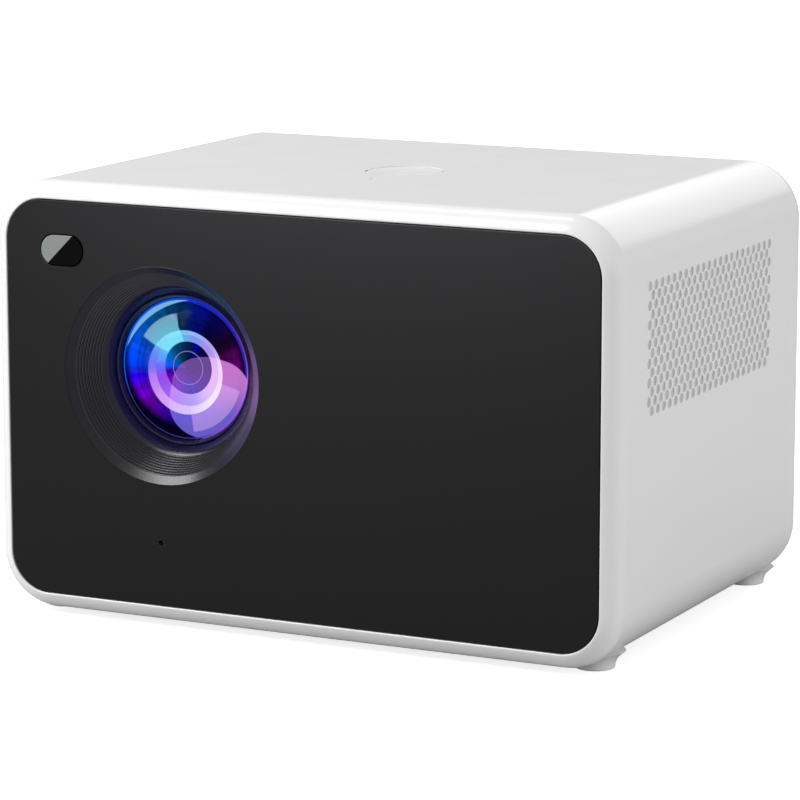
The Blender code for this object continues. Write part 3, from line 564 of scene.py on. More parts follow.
    # Painted reflections along the rim of the glass: a blue halo and a pale blue arc, each cut by
    # an offset disc.
    halo: Disc = Disc(0.0, 0.0, 24.7, 0.3)
    halo_hole: Disc = Disc(-0.5, -0.6, 24.3, 0.4)
    crescent_reflection: Disc = Disc(0.0, 0.0, 24.3, 0.25)
    crescent_reflection_hole: Disc = Disc(6.9, -9.5, 34.2, 0.3)
    # Painted reflection: a large magenta disc at the lower right, bluer towards its bottom.
    pink_reflection_centre: Pair = (9.6, -10.0)
    pink_reflection_half: Pair = (16.5, 14.4)
    pink_reflection_fade: Pair = (-17.0, -2.0)
    # Painted reflection: a violet band at the lower right.
    violet_reflection: Sector = Sector(14.0, 22.4, 0.5, 0.272, 0.455)
    # Painted highlight: a thin bright band along the rim of the glass.
    edge: Sector = Sector(24.5, 25.0, 0.2)

    def elements(self, lens: LensPattern, pupil: Socket) -> Socket:
        """Colour the elements with their coating colours and painted highlights, and darken them
        towards the barrel with painted shade.

        Args:
            lens: The pattern's axis and marks.
            pupil: Mask of the innermost element.

        Returns:
            The colour socket.
        """
        sheet = lens.sheet
        colour = sheet.mix(pupil, lens.wheel(self.outer), lens.wheel(self.inner))
        share = sheet.maths("DIVIDE", lens.read("Radius"), self.glass_radius)
        # Rings and painted shade by radius, then spokes of painted highlight.
        colour = sheet.mix(1.0, colour, sheet.ramp(share, self.steps), "MULTIPLY")
        colour = sheet.mix(1.0, colour, lens.streaks(), "MULTIPLY")
        hair = sheet.product(lens.sector(self.hair), 0.5)
        colour = sheet.mix(hair, colour, (0.35, 0.35, 0.95))
        # Painted shade: dark outside a disc, towards the barrel.
        return sheet.mix(sheet.outside(lens.disc(self.shade)), colour, (0.0, 0.0, 0.01))

    def reflections(self, lens: LensPattern, pupil: Socket, colour: Socket) -> Socket:
        """Lay painted light over the elements: the bright ring, painted coloured reflections and a
        painted highlight along the rim.

        Args:
            lens: The pattern's axis and marks.
            pupil: Mask of the innermost element.
            colour: Colour of the elements.

        Returns:
            The colour socket.
        """
        sheet = lens.sheet
        # Painted light: the bright ring.
        ring = sheet.mix(lens.disc(self.ring_split), lens.wheel(self.painted_ring_light_outer),
                         lens.wheel(self.painted_ring_light_inner))
        in_ring = sheet.maths("SUBTRACT", lens.disc(self.ring), lens.disc(self.ring_hole))
        colour = sheet.mix(sheet.product(in_ring, 0.92), colour, ring)
        # Painted reflection: blue-green, at the upper left.
        share = sheet.maths("DIVIDE", lens.read("Radius"), self.cyan_reflection_radius)
        colour = sheet.mix(sheet.product(lens.sector(self.cyan_reflection), 0.62), colour,
                           sheet.ramp(share, self.cyan_reflection_colours), "SCREEN")
        # Painted reflections along the rim: the halo and a pale blue arc.
        for disc, hole, weight, light in (
                (self.halo, self.halo_hole, 0.8, (0.01, 0.025, 0.55)),
                (self.crescent_reflection, self.crescent_reflection_hole, 0.85, (0.22, 0.50, 0.88))):
            mask = sheet.product(lens.disc(disc), sheet.outside(lens.disc(hole)), weight)
            colour = sheet.mix(mask, colour, light)
        # Painted reflection: a large magenta disc, bluer towards its bottom and over the pupil.
        light = sheet.mix(sheet.smooth_step(lens.read("Up"), *self.pink_reflection_fade),
                          (0.22, 0.17, 0.88), (0.80, 0.28, 0.85))
        light = sheet.mix(sheet.product(pupil, 0.6), light, (0.17, 0.15, 0.85))
        weight = sheet.maths("SUBTRACT", 0.62, sheet.product(pupil, 0.30))
        pink_reflection = sheet.product(lens.pillow(self.pink_reflection_centre, self.pink_reflection_half), weight)
        colour = sheet.mix(pink_reflection, colour, light, "SCREEN")
        # Painted reflection: violet, at the lower right.
        colour = sheet.mix(sheet.product(lens.sector(self.violet_reflection), 0.32), colour,
                           (0.82, 0.46, 0.95), "SCREEN")
        # Painted highlight along the rim of the glass.
        return sheet.mix(lens.sector(self.edge), colour, lens.wheel(self.rim))

    def write(self, sheet: Sheet, shader: bpy.types.Node) -> None:
        """Let the pattern glow by emission on an almost black body: all of it is painted light.

        Args:
            sheet: The material's sheet.
            shader: Its shader node.
        """
        lens = LensPattern(sheet)
        pupil = sheet.smooth_step(lens.read("Radius"), *self.pupil_edge)
        colour = self.reflections(lens, pupil, self.elements(lens, pupil))
        # Painted light: the pattern glows by emission, and the body under it is near black.
        sheet.wire(shader, Emission_Color=colour, Emission_Strength=1.0,
                   Base_Color=sheet.mix(0.97, colour, (0.0, 0.0, 0.0)), Roughness=0.4,
                   Specular_IOR_Level=0.02)


@dataclass(frozen=True)
class FunnelBlack(Moulded):
    """Satin black of the funnel, with a painted glow in the colours of the coated glass on one
    side and a painted sheen on the crests of its ridges.
    """

    # Painted glow of the lens's colours on the funnel's outer ring, violet at the right.
    tint: Stops = (
        (0.00, (0.001, 0.001, 0.004)), (0.20, (0.001, 0.001, 0.003)),
        (0.34, (0.006, 0.005, 0.012)), (0.42, (0.05, 0.04, 0.09)), (0.48, (0.14, 0.08, 0.20)),
        (0.53, (0.10, 0.06, 0.15)), (0.58, (0.02, 0.015, 0.06)), (0.63, (0.004, 0.012, 0.03)),
        (0.68, (0.005, 0.016, 0.04)), (0.73, (0.002, 0.004, 0.012)), (0.80, (0.002, 0.002, 0.008)))
    # Painted sheen on the crests of the ridges: where it shows, round the left, and its colour.
    crest_sheen_side: Stops = ((0.00, 1.0), (0.13, 0.8), (0.22, 0.0), (0.72, 0.0), (0.80, 0.6),
                         (0.90, 1.0))
    crest_sheen: Colour = (0.030, 0.030, 0.034)
    # Painted blue glow in the throat.
    throat_glow: Colour = (0.002, 0.002, 0.018)
    ridge_outer: float = 35.8
    ridge_pitch: float = 5.8 / 9
    ridges: float = 9.0
    throat_edge: Pair = (31.5, 28.5)
    rim_edge: Pair = (30.5, 35.0)

    def crests(self, lens: LensPattern) -> Socket:
        """Mark the crests of the ridges round the left half of the funnel, where the painted sheen
        goes.

        Args:
            lens: The pattern's axis and marks.

        Returns:
            1 on a crest, and 0 in a groove, in the throat and on the outer ring.
        """
        sheet = lens.sheet
        depth = sheet.maths("SUBTRACT", self.ridge_outer, lens.read("Radius"))
        ridge = sheet.maths("DIVIDE", depth, self.ridge_pitch)
        wave = sheet.maths("PINGPONG", sheet.maths("ADD", ridge, 0.25), 0.5)
        return sheet.product(sheet.smooth_step(wave, 0.22, 0.44),
                             sheet.smooth_step(ridge, 0.0, 0.2),
                             sheet.smooth_step(ridge, self.ridges, self.ridges - 0.4),
                             lens.wheel(self.crest_sheen_side))

    def write(self, sheet: Sheet, shader: bpy.types.Node) -> None:
        """Add the painted glow of the glass and the painted sheen of the crests, as emission, to
        the moulded black.

        Args:
            sheet: The material's sheet.
            shader: Its shader node.
        """
        super().write(sheet, shader)
        lens = LensPattern(sheet)
        radius = lens.read("Radius")
        throat = sheet.mix(sheet.smooth_step(radius, *self.throat_edge), (0.0, 0.0, 0.0),
                           self.throat_glow)
        rim = sheet.smooth_step(radius, *self.rim_edge)
        glow = sheet.mix(rim, throat, lens.wheel(self.tint))
        # Painted light: the glow and the crest sheen, as emission.
        sheet.wire(shader, Emission_Strength=1.0,
                   Emission_Color=sheet.mix(self.crests(lens), glow, self.crest_sheen))


@dataclass(frozen=True)
class SmokedWindow(Finish):
    """Gloss black window with a painted reflection over its upper left, cut off on a slant."""

    dark: Colour = (0.0015, 0.0015, 0.002)
    # Colour of the painted reflection over the upper left.
    painted_reflection: Colour = (0.26, 0.275, 0.265)
    reach: float = -1.0
    soft: float = 0.12

    def write(self, sheet: Sheet, shader: bpy.types.Node) -> None:
        """Split the window on the slant between the painted reflection and bare glass.

        Args:
            sheet: The material's sheet.
            shader: Its shader node.
        """
        split = sheet.node("SeparateXYZ", in_Vector=sheet.place())
        slant = sheet.maths("SUBTRACT", split.outputs["X"], split.outputs["Y"])
        # Painted reflection: pale over the upper left, cut off on a slant.
        painted_reflection = sheet.smooth_step(sheet.product(slant, 1.0 / MM), self.reach + self.soft,
                                 self.reach - self.soft)
        sheet.wire(shader, Base_Color=sheet.mix(painted_reflection, self.dark, self.painted_reflection),
                   Roughness=sheet.maths("ADD", sheet.product(painted_reflection, 0.12), 0.05),
                   Specular_IOR_Level=0.06)


@dataclass(frozen=True)
class CircuitBoard(Finish):
    """Solder mask with a pattern of tracks."""

    mask: Colour = (0.012, 0.09, 0.035)
    track: Colour = (0.03, 0.20, 0.08)

    def write(self, sheet: Sheet, shader: bpy.types.Node) -> None:
        """Feed the shader with raised tracks.

        Args:
            sheet: The material's sheet.
            shader: Its shader node.
        """
        tracks = sheet.node("TexBrick", in_Vector=sheet.place(), in_Scale=160.0,
                            in_Mortar_Size=0.03).outputs["Fac"]
        sheet.wire(shader, Base_Color=sheet.mix(tracks, self.mask, self.track), Roughness=0.35,
                   Normal=sheet.bump(tracks, 0.00004))


WHITE_SHELL = Moulded("white_gloss", "white_shell", (0.80, 0.80, 0.80), 0.22, cloud=0.012,
                      grain_scale=900.0, grain_depth=0.000003, spread=0.04, coat=0.15,
                      coat_roughness=0.12)
CHARCOAL = Moulded("charcoal_satin", "charcoal_panel", (0.0095, 0.0095, 0.0103), 0.42,
                   cloud=0.06, grain_scale=5200.0, grain_depth=0.00001, spread=0.05,
                   specular=0.14)
# The funnel black also carries a painted glow and a painted sheen.
HOOD_BLACK = FunnelBlack("funnel_black", "black_plastic", (0.003, 0.003, 0.004), 0.27,
                         cloud=0.1, grain_scale=1500.0, grain_depth=0.0000006)
BLACK_PLASTIC = Moulded("black_moulding", "black_plastic", (0.014, 0.014, 0.016), 0.45,
                        cloud=0.1)
STEEL = Moulded("bright_steel", "steel", (0.60, 0.60, 0.62), 0.28, 1.0, grain_scale=1800.0,
                spread=0.15)
ALUMINIUM = Moulded("cast_aluminium", "aluminium", (0.74, 0.75, 0.77), 0.38, 1.0,
                    grain_scale=1200.0)
MIRROR = Moulded("mirror_silver", "mirror", (0.92, 0.92, 0.94), 0.03, 1.0,
                 grain_depth=0.000001)
BRASS = Moulded("turned_brass", "brass", (0.78, 0.60, 0.30), 0.30, 1.0, spread=0.12)
COPPER = Moulded("copper_winding", "brass", (0.70, 0.32, 0.15), 0.35, 1.0,
                 grain_scale=3000.0, grain_depth=0.0001)
SILICONE = Moulded("grey_silicone", "silicone", (0.22, 0.22, 0.23), 0.6)
LCD_GLASS = Moulded("display_glass", "lcd_glass", (0.02, 0.02, 0.035), 0.12, coat=0.5)
LINER = Moulded("acoustic_mesh", "silicone", (0.53, 0.53, 0.53), 0.8, cloud=0.05,
                grain_scale=9000.0, grain_depth=0.0001)
BUTTON_MARK = Moulded("button_mark", "white_shell", (0.70, 0.71, 0.72), 0.3)
LIGHT_PIPE = Moulded("light_diffuser", "optical_glass", (0.70, 0.71, 0.72), 0.12, coat=0.5)
# The sensor window carries a painted reflection.
SENSOR_GLASS = SmokedWindow("smoked_window", "sensor_black")
FRONT_GLASS = ClearGlass("coated_front_glass", "optical_glass", (0.98, 0.985, 1.0), 1.06)
INNER_GLASS = ClearGlass("inner_glass", "optical_glass", (0.94, 0.97, 1.0), 1.45)
# The lens elements: painted light that glows by emission.
OPTICS = CoatedOpticsPaintedLight("coated_lens_painted_light", "optical_glass")
BOARD = CircuitBoard("green_board", "circuit_board")


# ---- Mesh work ----------------------------------------------------------------------------
def mm(*points: Pair) -> tuple[Pair, ...]:
    """Turn points in millimetres into metres."""
    return tuple((a * MM, b * MM) for a, b in points)


def quarter(steps: int) -> list[float]:
    """Angles from 0 to a right angle."""
    return [math.pi / 2 * k / steps for k in range(steps + 1)]


@dataclass(frozen=True)
class Room:
    """The box that a node of the frame takes up at rest."""

    low: Vector
    high: Vector

    @classmethod
    def of(cls, node: str) -> Room:
        """Read a node's box."""
        return cls(*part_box(node))

    @property
    def half(self) -> Pair:
        """Half width and half height, seen from the front."""
        return (self.high.x - self.low.x) / 2, (self.high.z - self.low.z) / 2

    def at(self, **given: float) -> Vector:
        """Give the middle, with the given coordinates in place of its own.

        Args:
            given: Coordinates by their letter.

        Returns:
            The point.
        """
        spot = (self.low + self.high) / 2
        for letter, value in given.items():
            setattr(spot, letter, value)
        return spot


def keep(work: bmesh.types.BMesh, name: str) -> Piece:
    """Turn a bmesh into an object of the scene.

    Args:
        work: The bmesh, which is freed.
        name: Name of the mesh and object.

    Returns:
        The new object.
    """
    mesh = bpy.data.meshes.new(name)
    bmesh.ops.recalc_face_normals(work, faces=work.faces)
    work.to_mesh(mesh)
    work.free()
    made = bpy.data.objects.new(name, mesh)
    bpy.context.scene.collection.objects.link(made)
    return made


def stand(piece: Piece, centre: Vector, axis: Axis) -> Piece:
    """Put a piece at a place, with its local Z along an axis.

    Args:
        piece: The piece.
        centre: Where its origin goes.
        axis: Where its local Z points to.

    Returns:
        The same piece.
    """
    piece.location = centre
    piece.rotation_euler = axis.value
    return piece


def lathe(name: str, profile: Profile, centre: Vector, axis: Axis, segments: int = 96,
          ring: bool = True) -> Piece:
    """Turn a profile round an axis.

    Args:
        name: Name of the piece.
        profile: (radius, height) points.
        centre: Where height 0 on the axis lies.
        axis: Where height points to.
        segments: Steps round the turn.
        ring: Close the profile on itself. Otherwise its ends lie on the axis.

    Returns:
        The new object, with its origin on the axis.
    """
    work = bmesh.new()
    turns = [math.tau * k / segments for k in range(segments)]
    rows = [[work.verts.new((radius * math.cos(t), radius * math.sin(t), height))
             for t in (turns if radius > 0.0 else turns[:1])] for radius, height in profile]
    pairs = list(zip(rows, rows[1:]))
    if ring:
        pairs.append((rows[-1], rows[0]))
    for first, second in pairs:
        for k in range(segments):
            corners = [first[k % len(first)], first[(k + 1) % len(first)],
                       second[(k + 1) % len(second)], second[k % len(second)]]
            face = list(dict.fromkeys(corners))
            if len(face) > 2:
                work.faces.new(face)
    return stand(keep(work, name), centre, axis)


def rounded_outline(half: Pair, radius: float, steps: int) -> list[Pair]:
    """Points of a rounded rectangle, the same number whatever its size.

    Args:
        half: Half width and half height.
        radius: Corner radius.
        steps: Steps in each corner.

    Returns:
        Points in order round the outline.
    """
    points = []
    for corner, (sx, sy) in enumerate(((1, 1), (-1, 1), (-1, -1), (1, -1))):
        for k in range(steps + 1):
            turn = math.pi / 2 * (corner + k / steps)
            points.append((sx * (half[0] - radius) + radius * math.cos(turn),
                           sy * (half[1] - radius) + radius * math.sin(turn)))
    return points


def skin(work: bmesh.types.BMesh, rows: Sequence[Sequence[Vector]], closed: bool = False) -> None:
    """Skin rows of points that have the same number of points each.

    Args:
        work: The bmesh that takes the skin.
        rows: Rings of points.
        closed: Join the last ring to the first. Otherwise both ends get a face.
    """
    rings = [[work.verts.new(point) for point in row] for row in rows]
    pairs = list(zip(rings, rings[1:]))
    if closed:
        pairs.append((rings[-1], rings[0]))
    else:
        work.faces.new(rings[0])
        work.faces.new(rings[-1])
    count = len(rings[0])
    for first, second in pairs:
        for k in range(count):
            after = (k + 1) % count
            work.faces.new((first[k], first[after], second[after], second[k]))


def loft(name: str, rows: Sequence[Sequence[Vector]], closed: bool = False) -> Piece:
    """Make a piece by skinning rows of points.

    Args:
        name: Name of the piece.
        rows: Rings of points.
        closed: Join the last ring to the first. Otherwise both ends get a face.

    Returns:
        The new object.
    """
    work = bmesh.new()
    skin(work, rows, closed)
    return keep(work, name)


def layers(half: Pair, radius: float, levels: Profile, steps: int) -> list[list[Vector]]:
    """Rounded rectangles on top of each other.

    Args:
        half: Half width and half height.
        radius: Corner radius.
        levels: How far each one grows, and its height.
        steps: Steps in each corner.

    Returns:
        Rings of points for a loft.
    """
    return [[Vector((x, y, height)) for x, y in
             rounded_outline((half[0] + grow, half[1] + grow), radius + grow, steps)]
            for grow, height in levels]


def plate(name: str, centre: Vector, half: Pair, depth: float, radius: float, edge: float,
          axis: Axis = Axis.FORWARD, steps: int = 16) -> Piece:
    """A flat plate with rounded corners and rounded edges.

    Args:
        name: Name of the piece.
        centre: Centre of its front face.
        half: Half width and half height.
        depth: Thickness behind the front face.
        radius: Corner radius.
        edge: Radius of the front and back edges.
        axis: Where its front face looks.
        steps: Steps in each corner.

    Returns:
        The new object.
    """
    front = [(-edge * (1 - math.sin(t)), -edge * (1 - math.cos(t))) for t in quarter(4)]
    back = [(-edge * (1 - math.cos(t)), -depth + edge * (1 - math.sin(t))) for t in quarter(4)]
    return stand(loft(name, layers(half, radius, front + back, steps)), centre, axis)


def prism(name: str, centre: Vector, half: Pair, reach: float, radius: float,
          axis: Axis = Axis.FORWARD, steps: int = 8, flare: float = 0.0) -> Piece:
    """A rounded-rectangle bar that cuts inwards from a face, with a flared mouth.

    Args:
        name: Name of the bar.
        centre: Middle of the opening, on the face.
        half: Half width and half height.
        reach: How far it runs to both sides of the face.
        radius: Corner radius.
        axis: The direction that the face looks in.
        steps: Steps in each corner.
        flare: How far the opening's edge is softened, or 0 for a straight bar.

    Returns:
        The new object.
    """
    levels = [(0.0, -reach), (0.0, reach)]
    if flare:
        levels[1:] = [(0.0, -flare), (2 * flare, flare)]
    rounded = min(radius, min(half) * 0.96)
    return stand(loft(name, layers(half, rounded, levels, steps)), centre, axis)


def drill(name: str, centre: Vector, radius: float, reach: float, axis: Axis = Axis.FORWARD,
          segments: int = 64, flare: float = 0.0) -> Piece:
    """A round bar that cuts inwards from a face, with a flared mouth.

    Args:
        name: Name of the bar.
        centre: Middle of the opening, on the face.
        radius: Radius of the hole.
        reach: How far it runs to both sides of the face.
        axis: The direction that the face looks in.
        segments: Steps round the hole.
        flare: How far the opening's edge is softened, or 0 for a straight bar.

    Returns:
        The new object.
    """
    profile = [(0.0, -reach), (radius, -reach), (radius, reach), (0.0, reach)]
    if flare:
        profile[2:] = [(radius, -flare), (radius + 2 * flare, flare), (0.0, flare)]
    return lathe(name, profile, centre, axis, segments, ring=False)


def sink(seat: Vector, axis: Axis, shank: float, head: float, depth: float) -> Piece:
    """A stepped bar that cuts the seat of a sunk screw.

    Args:
        seat: Middle of the seat, on the face.
        axis: The direction that the face looks in.
        shank: Radius of the hole for the shank.
        head: Radius of the hole for the head.
        depth: Depth of the hole for the head.

    Returns:
        The new object.
    """
    end, above = -8 * MM, 1 * MM
    profile = [(0.0, end), (shank, end), (shank, -depth), (head, -depth), (head, above),
               (0.0, above)]
    return lathe("sink", profile, seat, axis, 32, ring=False)


def block(name: str, low: Vector, high: Vector, edge: float = 0.0) -> Piece:
    """A box between two corners, with softened edges.

    Args:
        name: Name of the piece.
        low: Lowest corner.
        high: Highest corner.
        edge: Width of the bevel, or 0 for none.

    Returns:
        The new object.
    """
    work = bmesh.new()
    bmesh.ops.create_cube(work, size=1.0)
    bmesh.ops.scale(work, vec=high - low, verts=work.verts)
    if edge:
        bmesh.ops.bevel(work, geom=work.edges[:], offset=edge, segments=3, profile=0.5,
                        affect="EDGES")
    return stand(keep(work, name), (low + high) / 2, Axis.UP)


def dome(radius: float, sphere: float, rim: float, steps: int = 24) -> list[Pair]:
    """Points down a spherical cap, from its crown to its rim.

    Args:
        radius: Radius of the rim.
        sphere: Radius of the sphere.
        rim: Height of the rim.
        steps: Steps from crown to rim.

    Returns:
        (radius, height) points.
    """
    low = math.sqrt(sphere ** 2 - radius ** 2)
    radii = [radius * k / steps for k in range(steps + 1)]
    return [(r, rim + math.sqrt(sphere ** 2 - r ** 2) - low) for r in radii]


def merge(pieces: Sequence[Piece], name: str) -> Piece:
    """Join objects into one, in world coordinates.

    Args:
        pieces: The objects, which are used up.
        name: Name of the new object.

    Returns:
        The new object.
    """
    work = bmesh.new()
    for piece in pieces:
        bpy.context.view_layer.update()
        piece.data.transform(piece.matrix_world)
        work.from_mesh(piece.data)
        bpy.data.objects.remove(piece)
    return keep(work, name)


def carve(target: Piece, cutter: Piece, operation: str = "DIFFERENCE") -> None:
    """Cut one piece with another, which is used up.

    Args:
        target: The piece that stays.
        cutter: The piece that is removed.
        operation: DIFFERENCE or UNION.
    """
    step = target.modifiers.new("carve", "BOOLEAN")
    step.operation = operation
    step.solver = "EXACT"
    step.object = cutter
    bpy.context.view_layer.update()
    graph = bpy.context.evaluated_depsgraph_get()
    result = bpy.data.meshes.new_from_object(target.evaluated_get(graph))
    target.modifiers.clear()
    target.data = result
    bpy.data.objects.remove(cutter)


def screw(name: str, seat: Vector, axis: Axis, radius: float, height: float, shank: float,
          length: float) -> Piece:
    """A pan-head screw with a cross recess.

    Args:
        name: Name of the screw.
        seat: Middle of the head's underside.
        axis: Where the head looks.
        radius: Radius of the head.
        height: Height of the head.
        shank: Radius of the shank.
        length: Length of the shank.

    Returns:
        The new object.
    """
    rim = 0.45 * height
    profile = [(0.0, -length), (shank, -length), (shank, 0.0), (radius, 0.0), (radius, rim)]
    crown = [(radius * math.cos(t), rim + (height - rim) * math.sin(t)) for t in quarter(6)[1:-1]]
    made = lathe(name, profile + crown + [(0.0, height)], seat, axis, 40, ring=False)
    rows = []
    for z, shrink in ((height * 0.25, 0.45), (height * 1.2, 1.0)):
        a, b = 0.58 * radius * shrink, 0.13 * radius
        corners = [(a, b), (b, b), (b, a), (-b, a), (-b, b), (-a, b),
                   (-a, -b), (-b, -b), (-b, -a), (b, -a), (b, -b), (a, -b)]
        rows.append([Vector((x, y, z)) for x, y in corners])
    carve(made, stand(loft("recess", rows), seat, axis))
    return made


@dataclass
class Maker:
    """Puts finished pieces on their bodies and keeps count of them."""

    pieces: list[str] = field(default_factory=list)

    def place(self, piece: Piece, finish: Finish, sharp: float, body: Body = Body.ROOT,
              replaces: Sequence[str] = ()) -> None:
        """Smooth a piece, dress it and let it ride.

        Args:
            piece: The piece, in place.
            finish: Its finish.
            sharp: Edges bent more than this stay sharp, in degrees.
            body: The body it moves with.
            replaces: Nodes of the frame that it stands for.
        """
        piece.data.shade_smooth()
        piece.data.set_sharp_from_angle(angle=math.radians(sharp))
        normals = piece.modifiers.new("normals", "WEIGHTED_NORMAL")
        normals.keep_sharp = True
        self.dress(piece, finish)
        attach(piece, body.value)
        if replaces:
            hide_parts(*replaces)
        self.pieces.append(piece.name)
        LOG.info("made %s on %s", piece.name, body.value)

    def dress(self, piece: Piece, finish: Finish) -> None:
        """Give a piece or a node of the frame a finish.

        Args:
            piece: The piece or node.
            finish: Its finish.
        """
        piece.data.materials.clear()
        piece.data.materials.append(finish.build())
        LOG.info("dressed %s in %s", piece.name, finish.name)


# ---- Case ---------------------------------------------------------------------------------
@dataclass
class CaseShell:
    """The white sleeve round the projector, with its two side grilles."""

    maker: Maker
    depth: float = 176.1 * MM
    corner: float = 20.6 * MM
    corner_steps: int = 20
    wall: float = 2.5 * MM
    front_round: float = 8.2 * MM
    back_round: float = 11.5 * MM
    rim: float = 6.1 * MM
    back_rim: float = 9.0 * MM
    lip: float = 0.5 * MM
    seat_depth: float = 3.4 * MM
    back_seat_depth: float = 3.6 * MM
    ledge: float = 4.6 * MM
    ledge_reach: float = 6.0 * MM
    hole_radius: float = 1.65 * MM
    hole_soft: float = 0.22 * MM
    hole_segments: int = 18
    hole_pitch: float = 5.24 * MM
    row_pitch: float = 3.265 * MM
    rows: int = 14
    row_holes: int = 22
    grille_start: float = 27.1 * MM
    grille_top: float = 25.7 * MM
    liner_edge: float = 5.0 * MM
    liner_depths: Pair = (1.1 * MM, 0.55 * MM)
    base_gap: float = 0.3 * MM
    base_ledge: float = 8.0 * MM
    base_ledge_out: float = 4.0 * MM
    base_ledge_heights: Pair = (1.0 * MM, 6.8 * MM)
    seat_corner: float = 6.0 * MM
    way_corner: float = 4.0 * MM
    through: float = 20.0 * MM
    top_reach: float = 5.0 * MM
    button_hole: float = 14.0 * MM
    button_flare: float = 0.12 * MM
    light_hole: float = 1.2 * MM
    light_flare: float = 0.08 * MM

    def roll(self, radius: float, rim: float) -> list[Pair]:
        """One end of the sleeve, from its opening over a soft lip and out along the roll.

        Args:
            radius: Radius of the roll.
            rim: Width of the rim, from the case's side to its opening.

        Returns:
            (depth behind the end, inset from the side) points.
        """
        steps = 14
        start = math.asin(1 - (rim - self.lip) / radius)
        rise = radius * (1 - math.cos(start))
        lip = [(rise + self.lip * (1 - math.cos(t)), rim - self.lip * (1 - math.sin(t)))
               for t in reversed(quarter(4))]
        turns = [start + (math.pi / 2 - start) * k / steps for k in range(1, steps + 1)]
        return lip + [(radius * (1 - math.cos(t)), radius * (1 - math.sin(t))) for t in turns]

    def section(self) -> list[Pair]:
        """The wall's section along the sleeve.

        Returns:
            (depth behind the front, inset from the side) points.
        """
        inner, back_inner = self.rim + self.ledge_reach, self.back_rim + self.ledge_reach
        back_seat = self.depth - self.back_seat_depth
        front_ledge, back_ledge = self.seat_depth + self.ledge, back_seat - self.ledge
        back = [(self.depth - y, inset) for y, inset in self.roll(self.back_round, self.back_rim)]
        inside = [(back_seat, self.back_rim), (back_seat, back_inner), (back_ledge, back_inner),
                  (back_ledge, self.wall), (front_ledge, self.wall), (front_ledge, inner),
                  (self.seat_depth, inner), (self.seat_depth, self.rim)]
        return self.roll(self.front_round, self.rim) + back[::-1] + inside

    def grille(self, high: Vector) -> Piece:
        """All the round openings of both grilles, as one cutter with softened mouths.

        Args:
            high: Highest corner of the case.

        Returns:
            The cutter.
        """
        work = bmesh.new()
        front = -self.depth / 2
        soft = self.hole_soft
        turns = [math.tau * n / self.hole_segments for n in range(self.hole_segments)]
        levels = ((high.x - 2 * self.wall, self.hole_radius), (high.x - soft, self.hole_radius),
                  (high.x + soft, self.hole_radius + 2 * soft))
        holes = [(side, row, k + row % 2 / 2) for side in (-1, 1) for row in range(self.rows)
                 for k in range(self.row_holes - row % 2)]
        for side, row, step in holes:
            y = front + self.grille_start + step * self.hole_pitch
            z = high.z - self.grille_top - row * self.row_pitch
            skin(work, [[Vector((side * x, y + r * math.cos(t), z + r * math.sin(t)))
                         for t in turns] for x, r in levels])
        return keep(work, "grille_cutter")

    def tube(self, low: Vector, high: Vector) -> Piece:
        """The sleeve before its openings are cut.

        Args:
            low: Lowest corner of the case.
            high: Highest corner of the case.

        Returns:
            The new object.
        """
        half = (high.x, (high.z - low.z) / 2)
        middle = (high.z + low.z) / 2
        rows = []
        for y, inset in self.section():
            outline = rounded_outline((half[0] - inset, half[1] - inset), self.corner - inset,
                                      self.corner_steps)
            rows.append([Vector((x, y - self.depth / 2, middle + z)) for x, z in outline])
        return loft("white_sleeve", rows, closed=True)

    def open_base(self, sleeve: Piece, bottom: float) -> None:
        """Add the ledge that carries the base plate, and cut the plate's seat and the way in.

        Args:
            sleeve: The sleeve.
            bottom: Height of its underside.
        """
        base = Room.of("base_plate").high
        seat = (base.x + self.base_gap, base.y + self.base_gap)
        way = (seat[0] - self.base_ledge, seat[1] - self.base_ledge)
        reach = (seat[0] + self.base_ledge_out, seat[1] + self.base_ledge_out)
        under, over = (bottom + height for height in self.base_ledge_heights)
        ledge = block("ledge", Vector((-reach[0], -reach[1], under)), Vector((*reach, over)))
        carve(sleeve, ledge, "UNION")
        centre = Vector((0.0, 0.0, bottom))
        for half, depth, corner in ((seat, self.wall, self.seat_corner),
                                    (way, self.through, self.way_corner)):
            carve(sleeve, prism("base_opening", centre, half, depth, corner, Axis.UP))

    def open_top(self, sleeve: Piece, top: float) -> None:
        """Cut the holes of the button and of the light.

        Args:
            sleeve: The sleeve.
            top: Height of its upper side.
        """
        for node, radius, segments, flare in (
                ("power_button", self.button_hole, 96, self.button_flare),
                ("status_light", self.light_hole, 32, self.light_flare)):
            carve(sleeve, drill("top_hole", Room.of(node).at(z=top), radius, self.top_reach,
                                Axis.UP, segments, flare))

    def build(self) -> None:
        """Make the sleeve with its openings, and the liners behind the grilles."""
        low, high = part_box("case_sleeve")
        sleeve = self.tube(low, high)
        self.open_base(sleeve, low.z)
        self.open_top(sleeve, high.z)
        carve(sleeve, self.grille(high))
        self.maker.place(sleeve, WHITE_SHELL, 38, replaces=("case_sleeve",))
        self.build_liners(high)

    def build_liners(self, high: Vector) -> None:
        """Make the pale acoustic mesh behind each grille.

        Args:
            high: Highest corner of the case.
        """
        edge = self.liner_edge
        front = -self.depth / 2 + self.grille_start
        back = front + (self.row_holes - 1) * self.hole_pitch + edge
        top = high.z - self.grille_top + edge
        bottom = top - (self.rows - 1) * self.row_pitch - 2 * edge
        for name, side in (("left", -1), ("right", 1)):
            xs = sorted(side * (high.x - depth) for depth in self.liner_depths)
            liner = block("grille_liner_" + name, Vector((xs[0], front - edge, bottom)),
                          Vector((xs[1], back, top)), 0.1 * MM)
            self.maker.place(liner, LINER, 30)


